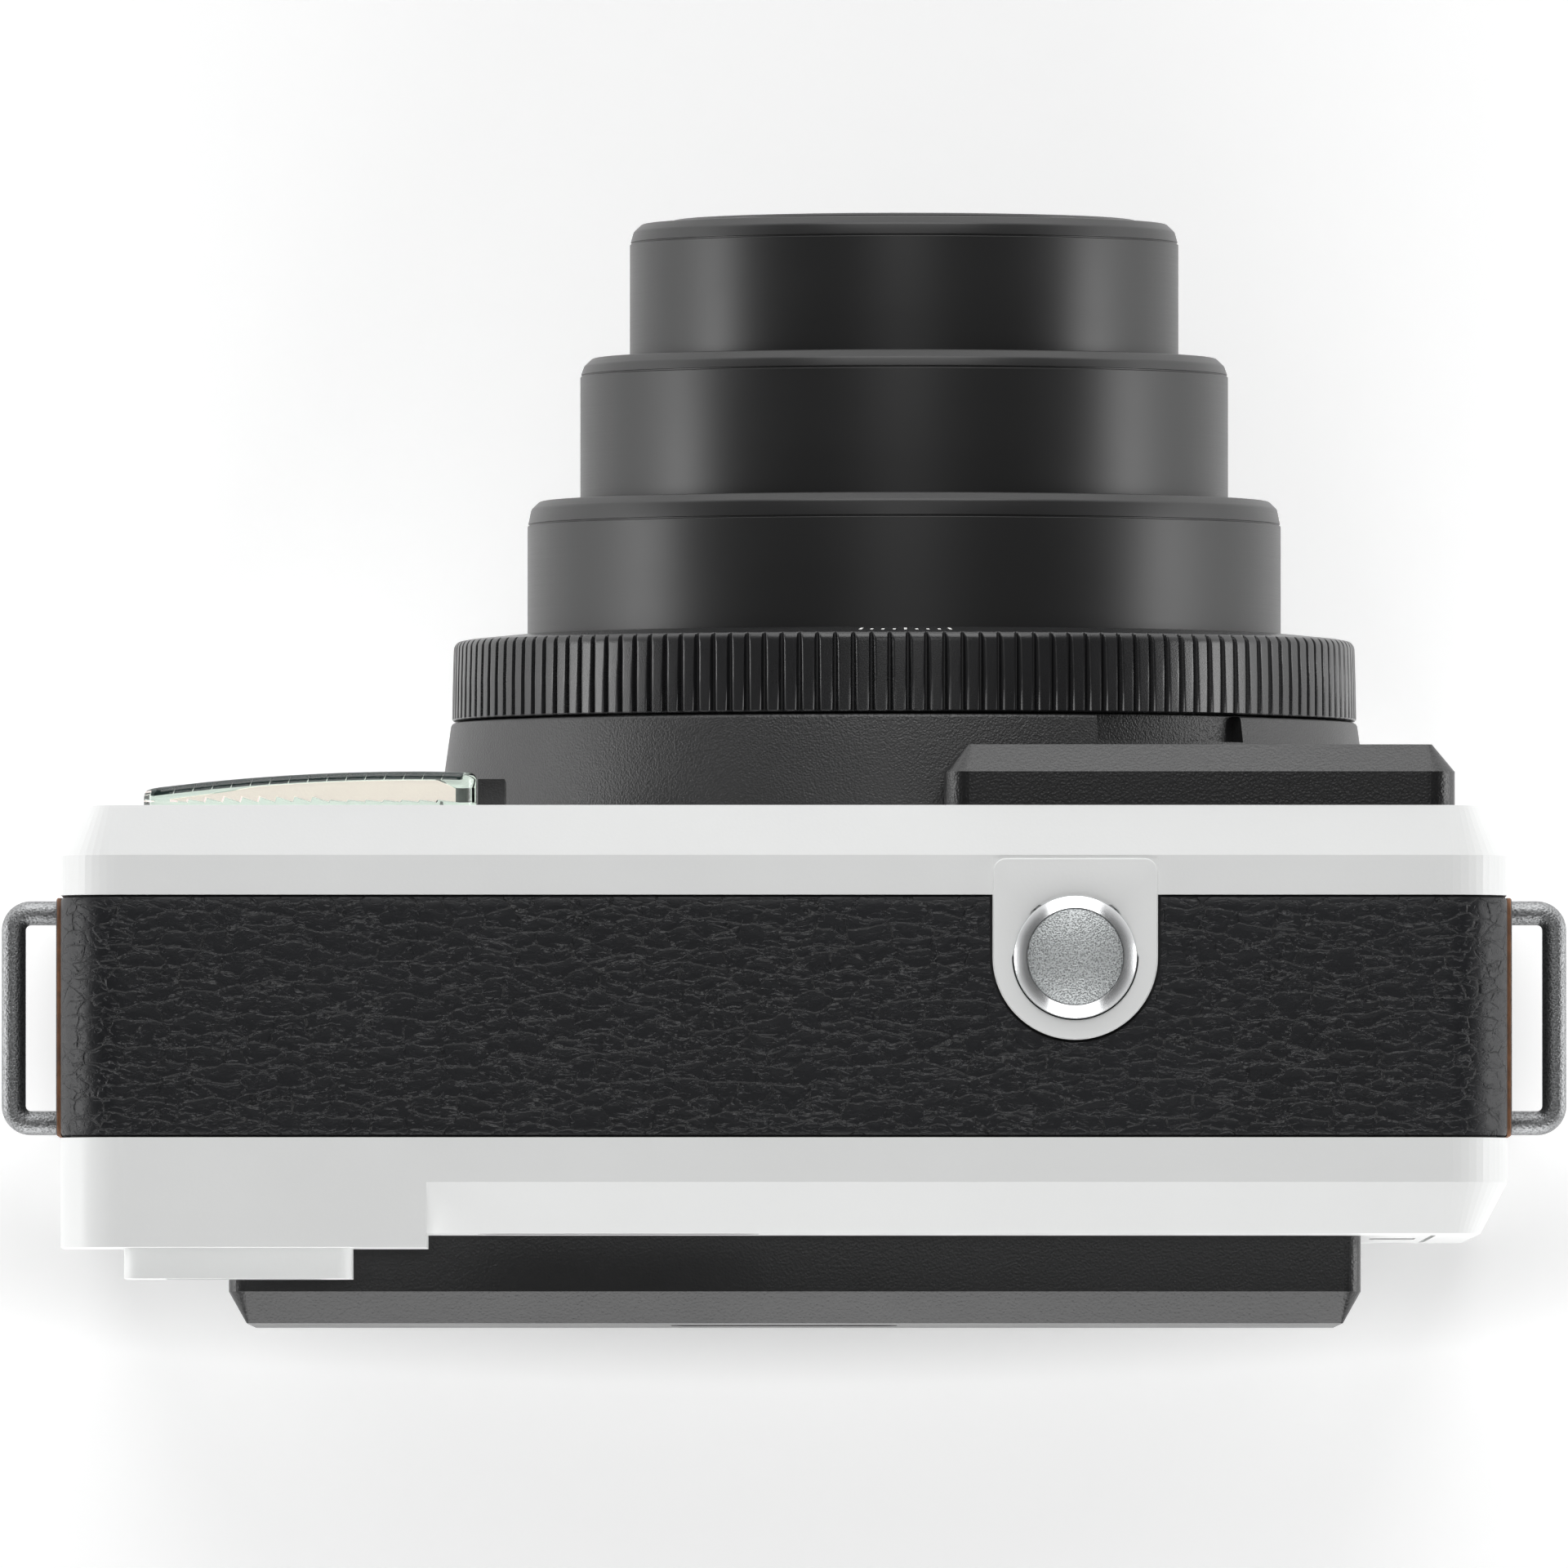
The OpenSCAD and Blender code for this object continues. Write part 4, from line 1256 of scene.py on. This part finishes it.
    def trim_ring(self) -> None:
        """The ring in front of the glass, with the stepped cone behind it."""
        profile = [(11.3, 60.0), (18.55, 60.0), (18.55, 63.95), (18.4, 64.1), (17.85, 64.1), (17.6, 63.95)]
        steps = 9
        for k in range(steps):
            r = 17.4 - k * 0.64
            f = 63.6 - k * 0.25
            profile += [(r, f), (r - 0.1, f - 0.2)]
        profile += [(11.3, 61.3)]
        piece = turned(profile, Axis.LENS, self.axis, self.steps).build("front_trim_ring", 20)
        Bench.fit(piece, "inner_stage", "black_plastic", TRIM_METAL, ["lens_trim_ring"])

    def glass(self) -> None:
        """The bowed front glass with its coat."""
        bow, rim = 26.0, 11.25
        drop = bow - math.sqrt(bow * bow - rim * rim)
        crown = [(0.02 + rim * k / 24, 61.6 - (bow - math.sqrt(bow * bow - (rim * k / 24) ** 2)))
                 for k in range(24)]
        profile = crown + [(rim, 61.6 - drop), (rim, 57.3), (rim - 0.1, 57.2), (0.02, 57.2)]
        piece = turned(profile, Axis.LENS, self.axis, 96).build("front_glass")
        Bench.fit(piece, "inner_stage", "optical_glass", LENS_COAT, ["front_element"])


# ---------------------------------------------------------------- flash and front fittings


@dataclass
class Flash:
    """The bowed clear cover with its ribs, the diffuser and the works behind."""

    x: Flat = (24.1, 50.2)
    z: Flat = (81.5, 90.5)
    face: float = -16.55
    ribs: int = 16

    def front(self, x: float) -> float:
        """How far the cover stands forwards at x."""
        peak, bow, top = 2.65, 160.0, 29.0
        return peak - (bow - math.sqrt(bow * bow - (x - top) ** 2))

    def build(self) -> None:
        """Builds the cover, its ribs and the diffuser, and dresses the rest."""
        self.cover()
        self.diffuser()
        self.band()
        Bench.dress("flash_reflector", MIRROR, 0.1)
        Bench.dress("flash_tube", WINDOW_CLEAR)
        Bench.dress("flash_capacitor", SLEEVE_BLUE, 0.2)

    def cover(self) -> None:
        """A bowed clear block with a closed hollow for the diffuser."""
        loop = Casing.denser(rectangle(self.x, self.z, 1.6, 6), 1.2)
        normals = shrink(loop)
        levels = [(0.0, 0.0, 0.0), (0.6, 0.0, 0.6)]
        soft, turns = 0.55, (0.0, 0.4, 0.8, 1.2, 1.5)
        levels += [(1.0, soft * (1 - math.cos(a)), soft * (1 - math.sin(a))) for a in turns]
        rows = []
        for share, inset, rim in levels:
            row = []
            for p, n in zip(loop, normals):
                x, z = p[0] - n[0] * inset, p[1] - n[1] * inset
                row.append((x, self.face - share * (self.front(x) - rim), z))
            rows.append(row)
        middle = sum(self.z) / 2
        last = rows[-1]
        for share in (0.75, 0.5, 0.25, 0.02):
            rows.append([(x, self.face - self.front(x), middle + (z - middle) * share) for x, _, z in last])
        draft = Draft().rows(rows).cap(rows[0]).cap(rows[-1], True)
        solid_faces = len(draft.faces)
        draft.add(self.lens_shape(0.05))
        piece = draft.build("flash_cover", 25)
        for face in piece.data.polygons[solid_faces:]:
            face.flip()
        Bench.fit(piece, "casing", "flash_plastic", FLASH_CLEAR, ["flash_window"])

    def lens_shape(self, grow: float) -> Draft:
        """The diffuser's solid: a bowed front, and a back cut into prisms at one end.

        Args:
            grow: how much larger than the diffuser itself.

        Returns:
            The closed draft.
        """
        left, right = self.x[0] + 1.7 - grow, self.x[1] - 2.1 + grow
        pitch = (right - left) / self.ribs
        crown, foot = [], []
        for k in range(self.ribs + 1):
            x = left + k * pitch
            share = k / self.ribs
            taper = min(1.0, (1 - share) / 0.3, share / 0.06 + 0.45) ** 0.6
            base = 0.32 - grow
            crown.append((x, base + 0.12 + taper * (self.front(x) - 1.2) + 2 * grow))
            tooth = 0.42 if share > 0.45 else 0.16
            if k:
                foot.append((x - 0.9 * pitch, base))
                foot.append((x, base + tooth * min(1.0, taper * 1.4)))
        foot[-1] = (right, crown[-1][1] - 0.06)
        outline = [(left, 0.32 - grow)] + foot + list(reversed(crown))
        rows = [[(x, self.face - d, z) for x, d in outline]
                for z in (self.z[0] + 0.9 - grow, self.z[1] - 0.75 + grow)]
        return Draft().rows(rows).cap(rows[0]).cap(rows[1], True)

    def diffuser(self) -> None:
        """The cream prism plate inside the cover, with a painted glow."""
        Bench.fit(self.lens_shape(0.0).build("flash_diffuser_plate", 20), "casing", "mirror_finish", DIFFUSER_PAINTED_GLOW)

    def band(self) -> None:
        """A dark strip of slanted segments inside the cover, along its upper front edge."""
        left, right = self.x[0] + 1.3, self.x[1] - 0.8
        pitch, gap, slant = (right - left) / self.ribs, 0.07, 0.3
        deep, shallow = 0.64, 0.1
        draft = Draft()
        for k in range(self.ribs):
            start, end = left + k * pitch, left + (k + 1) * pitch - gap
            outline = [(start, self.front(start) - deep), (end, self.front(end) - deep),
                       (end - slant, self.front(end) - shallow), (start - slant, self.front(start) - shallow)]
            rows = [[(x, self.face - d, z) for x, d in outline] for z in (self.z[1] - 1.6, self.z[1] - 0.5)]
            draft.rows(rows).cap(rows[0]).cap(rows[1], True)
        Bench.fit(draft.build("flash_rim_band", 20), "casing", "flash_plastic", FLASH_RIM)


@dataclass
class FrontFittings:
    """What stands on the front shell beside the lens and the flash."""

    def build(self) -> None:
        """Dresses the mirror housing, mirror, lamp, meter and finder."""
        Bench.dress("mirror_housing", BLACK_GRAIN, 0.22, 25.0)
        Bench.dress("selfie_mirror", MIRROR)
        Bench.dress("timer_lamp", LAMP_RED)
        Bench.dress("exposure_meter", MOUNT_BLACK, 0.15)
        Bench.dress("finder_window", WINDOW_CLEAR, 0.1)
        Bench.dress("finder_tube", INNER_BLACK, 0.1)
        Bench.dress("eyepiece_frame", WHITE_SHELL, 0.25)
        Bench.dress("eyepiece_lens", WINDOW_CLEAR, 0.1)
        self.mirror_rim()

    def mirror_rim(self) -> None:
        """A thin bright ring round the mirror."""
        centre, front, radius = front_of(*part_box("selfie_mirror"))
        profile = rounded([
            (radius - 0.35, front - 0.45, 0.0), (radius + 0.05, front - 0.45, 0.0),
            (radius + 0.05, front + 0.05, 0.05), (radius - 0.2, front + 0.05, 0.05)], 3)
        rim = turned(profile, Axis.LENS, centre, 96).build("mirror_rim")
        Bench.fit(rim, "casing", "steel", BRIGHT_METAL)


# ---------------------------------------------------------------- controls


@dataclass
class Controls:
    """The two release buttons, the rear buttons and the display."""

    release: Flat = (-22.8, -4.6)
    radius: float = 4.84
    foot: float = 91.0
    stem_end: float = 85.0
    stem_radius: float = 1.5
    disc_thick: ClassVar[float] = 1.5

    def build(self) -> None:
        """Builds the release buttons and dresses the rest."""
        self.release_button()
        self.front_release()
        Bench.dress("release_spring", PLAIN_STEEL)
        for name in ("power", "mode", "flash", "timer", "bright"):
            Bench.dress(name + "_button", WHITE_SHELL, 0.15)
        Bench.dress("lcd_window", DISPLAY_SMOKE, 0.12)
        Bench.dress("circuit_board", BOARD, 0.1)

    @classmethod
    def button_profile(cls, radius: float, top: float, foot: float) -> tuple[list[Flat], list[Flat]]:
        """Profiles of a button's bright rim and of its blasted disc.

        Args:
            radius: outer radius.
            top: height of the rim's highest point.
            foot: height of its underside.

        Returns:
            The rim's profile and the disc's.
        """
        inner, drop = radius - 1.04, 0.6
        rim = [(inner - 0.3, foot), (radius, foot), (radius, top - drop - 0.12)]
        rim += [(radius - 0.04, top - drop - 0.03)]
        rim += [(radius - 0.1, top - drop + 0.03), (inner + 0.12, top - 0.05), (inner + 0.05, top - 0.01)]
        rim += [(inner, top - 0.02), (inner - 0.03, top - 0.4), (inner - 0.3, top - 0.4)]
        under = top - cls.disc_thick
        disc = [(0.01, under), (inner - 0.04, under), (inner - 0.04, top - 0.14),
                (inner - 0.12, top - 0.08), (0.01, top - 0.07)]
        return rim, disc

    def release_button(self) -> None:
        """Top button: a bright bevelled rim, a blasted disc and a stem."""
        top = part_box("release_button")[1][2] / MM
        rim, disc = self.button_profile(self.radius, top, self.foot)
        low, high, half = self.stem_end, top - self.disc_thick + 0.1, self.stem_radius
        stem = turned([(0.01, low), (half, low), (half, high), (0.01, high)], Axis.UP, self.release, 48)
        ring = turned(rim, Axis.UP, self.release, 128).build("release_button_rim", 40)
        Bench.fit(ring, "release", "blasted_metal", BRIGHT_METAL, ["release_button"])
        face = turned(disc, Axis.UP, self.release, 128).add(stem).build("release_button_disc", 40)
        Bench.fit(face, "release", "blasted_metal", DISC_METAL)

    def front_release(self) -> None:
        """The second button, on the front."""
        centre, front, _ = front_of(*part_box("front_button"))
        rim, disc = self.button_profile(4.7, front, 14.2)
        foot = turned([(0.01, 12.8), (5.5, 12.8), (5.5, 14.2), (0.01, 14.2)], Axis.LENS, centre, 64)
        ring = turned(rim, Axis.LENS, centre, 128).build("front_button_rim", 40)
        Bench.fit(ring, "front_release", "blasted_metal", BRIGHT_METAL, ["front_button"])
        face = turned(disc, Axis.LENS, centre, 128).add(foot).build("front_button_disc", 40)
        Bench.fit(face, "front_release", "blasted_metal", DISC_METAL)


# ---------------------------------------------------------------- back, film and power


@dataclass
class Rear:
    """The film door, what the film passes through, and the battery."""

    def build(self) -> None:
        """Dresses the film door, film path and power pieces."""
        Bench.dress_all(
            ("film_door", WHITE_SHELL, 0.2, 25.0),
            ("door_cover", BLACK_GRAIN, 0.22, 25.0),
            ("film_window", AMBER, 0.1),
            ("door_latch", BLACK_GRAIN, 0.1),
            ("door_hinge_pin", PLAIN_STEEL),
            ("pressure_springs", PLAIN_STEEL),
            ("film_pack", SMOOTH_BLACK, 0.3),
            ("film_sheets", FILM_CARD, 0.1),
            ("roller_frame", PLAIN_STEEL, 0.1),
            ("drive_roller", ROLLER_RUBBER, 0.05),
            ("pinch_roller", PLAIN_STEEL, 0.1),
            ("motor_pinion", GEAR_IVORY, 0.05),
            ("eject_motor", PLAIN_STEEL, 0.2),
            ("battery", BATTERY_GREY, 0.4),
            ("battery_door", WHITE_SHELL, 0.2),
        )


# ---------------------------------------------------------------- studio


@dataclass(frozen=True)
class Softbox:
    """One soft light: where it stands, what it faces, how big and how strong."""

    name: str
    place: Point
    aim: Point
    size: Flat
    power: float

    def build(self) -> None:
        """Adds the light, unseen by the camera."""
        data = bpy.data.lights.new(self.name, "AREA")
        data.shape = "RECTANGLE"
        data.size, data.size_y = self.size
        data.energy = self.power
        light = bpy.data.objects.new(self.name, data)
        light.location = self.place
        aim = Vector(self.aim) - Vector(self.place)
        light.rotation_euler = aim.to_track_quat("-Z", "Y").to_euler()
        light.visible_camera = False
        bpy.context.scene.collection.objects.link(light)


@dataclass
class Studio:
    """Floor, lights, surroundings and camera."""

    floor_radius: float = 7.0
    boxes: tuple[Softbox, ...] = (
        Softbox("front_box", (0.0, -1.15, 0.7), (0.0, 0.0, 0.05), (1.2, 0.95), 11.3),
        Softbox("rear_box", (0.0, 1.15, 0.7), (0.0, 0.0, 0.05), (1.2, 0.95), 10.9),
        Softbox("left_box", (1.1, 0.0, 0.14), (0.0, 0.0, 0.05), (0.45, 0.3), 2.2),
        Softbox("right_box", (-1.1, 0.0, 0.14), (0.0, 0.0, 0.05), (0.45, 0.3), 2.2),
        Softbox("top_box", (0.0, -0.5, 1.6), (0.0, 0.0, 0.05), (0.5, 0.35), 1.3),
    )
    sky: tuple[tuple[float, float], ...] = (
        (0.0, 1.0), (0.17, 1.0), (0.36, 0.14), (0.93, 0.09), (0.98, 0.3))
    camera_height: float = 3.093
    camera_back: float = 0.0445
    aim_forward: float = -0.01815
    lens_mm: float = 880.0

    def build(self) -> None:
        """Builds the whole studio."""
        self.floor()
        for box in self.boxes:
            box.build()
        self.world()
        self.camera()

    def floor(self) -> None:
        """A round pale floor."""
        steps = 96
        ring = [(self.floor_radius / MM * math.cos(k * math.tau / steps),
                 self.floor_radius / MM * math.sin(k * math.tau / steps), 0.0) for k in range(steps)]
        floor = Draft().cap(ring).build("studio_floor")
        floor.data.materials.append(Ground("studio_paper").material())

    def world(self) -> None:
        """Surroundings that are white low down, dim higher up and lit again straight overhead."""
        world = bpy.data.worlds.new("studio_surroundings")
        bpy.context.scene.world = world
        world.use_nodes = True
        tree = world.node_tree
        tree.nodes.clear()
        place = tree.nodes.new("ShaderNodeTexCoord")
        split = tree.nodes.new("ShaderNodeSeparateXYZ")
        ramp = tree.nodes.new("ShaderNodeValToRGB")
        back = tree.nodes.new("ShaderNodeBackground")
        out = tree.nodes.new("ShaderNodeOutputWorld")
        while len(ramp.color_ramp.elements) < len(self.sky):
            ramp.color_ramp.elements.new(1.0)
        for element, (height, level) in zip(ramp.color_ramp.elements, self.sky):
            element.position = height
            element.color = (level, level, level, 1.0)
        tree.links.new(place.outputs["Generated"], split.inputs[0])
        tree.links.new(split.outputs["Z"], ramp.inputs[0])
        tree.links.new(ramp.outputs["Color"], back.inputs["Color"])
        tree.links.new(back.outputs["Background"], out.inputs["Surface"])

    def camera(self) -> None:
        """A long lens high over the camera's top, with the lens side up in the picture."""
        data = bpy.data.cameras.new("studio_camera")
        data.lens = self.lens_mm
        data.sensor_width = 36.0
        data.clip_end = 100.0
        camera = bpy.data.objects.new("studio_camera", data)
        place = Vector((0.0, self.camera_back, self.camera_height))
        ahead = (Vector((0.0, self.aim_forward, 0.093)) - place).normalized()
        right = ahead.cross(Vector((0.0, -1.0, 0.0))).normalized()
        up = right.cross(ahead)
        turn = Matrix((right, up, -ahead)).transposed()
        camera.matrix_world = Matrix.Translation(place) @ turn.to_4x4()
        bpy.context.scene.collection.objects.link(camera)
        bpy.context.scene.camera = camera
        scene = bpy.context.scene
        scene.view_settings.view_transform = "Standard"
        scene.view_settings.look = "None"


def write_sizes() -> None:
    """Brings the scene's placements up to date."""
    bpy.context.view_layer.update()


def main() -> None:
    """Builds the studio and every sub-assembly in order."""
    logging.basicConfig(level=logging.INFO, format="%(name)s: %(message)s")
    Studio().build()
    for unit in (Casing(), Lens(), Flash(), FrontFittings(), Controls(), Rear()):
        LOG.info("building %s", type(unit).__name__)
        unit.build()
    LOG.info("%d pieces made or dressed", Bench.pieces)
    write_sizes()


if __name__ == "__main__":
    main()
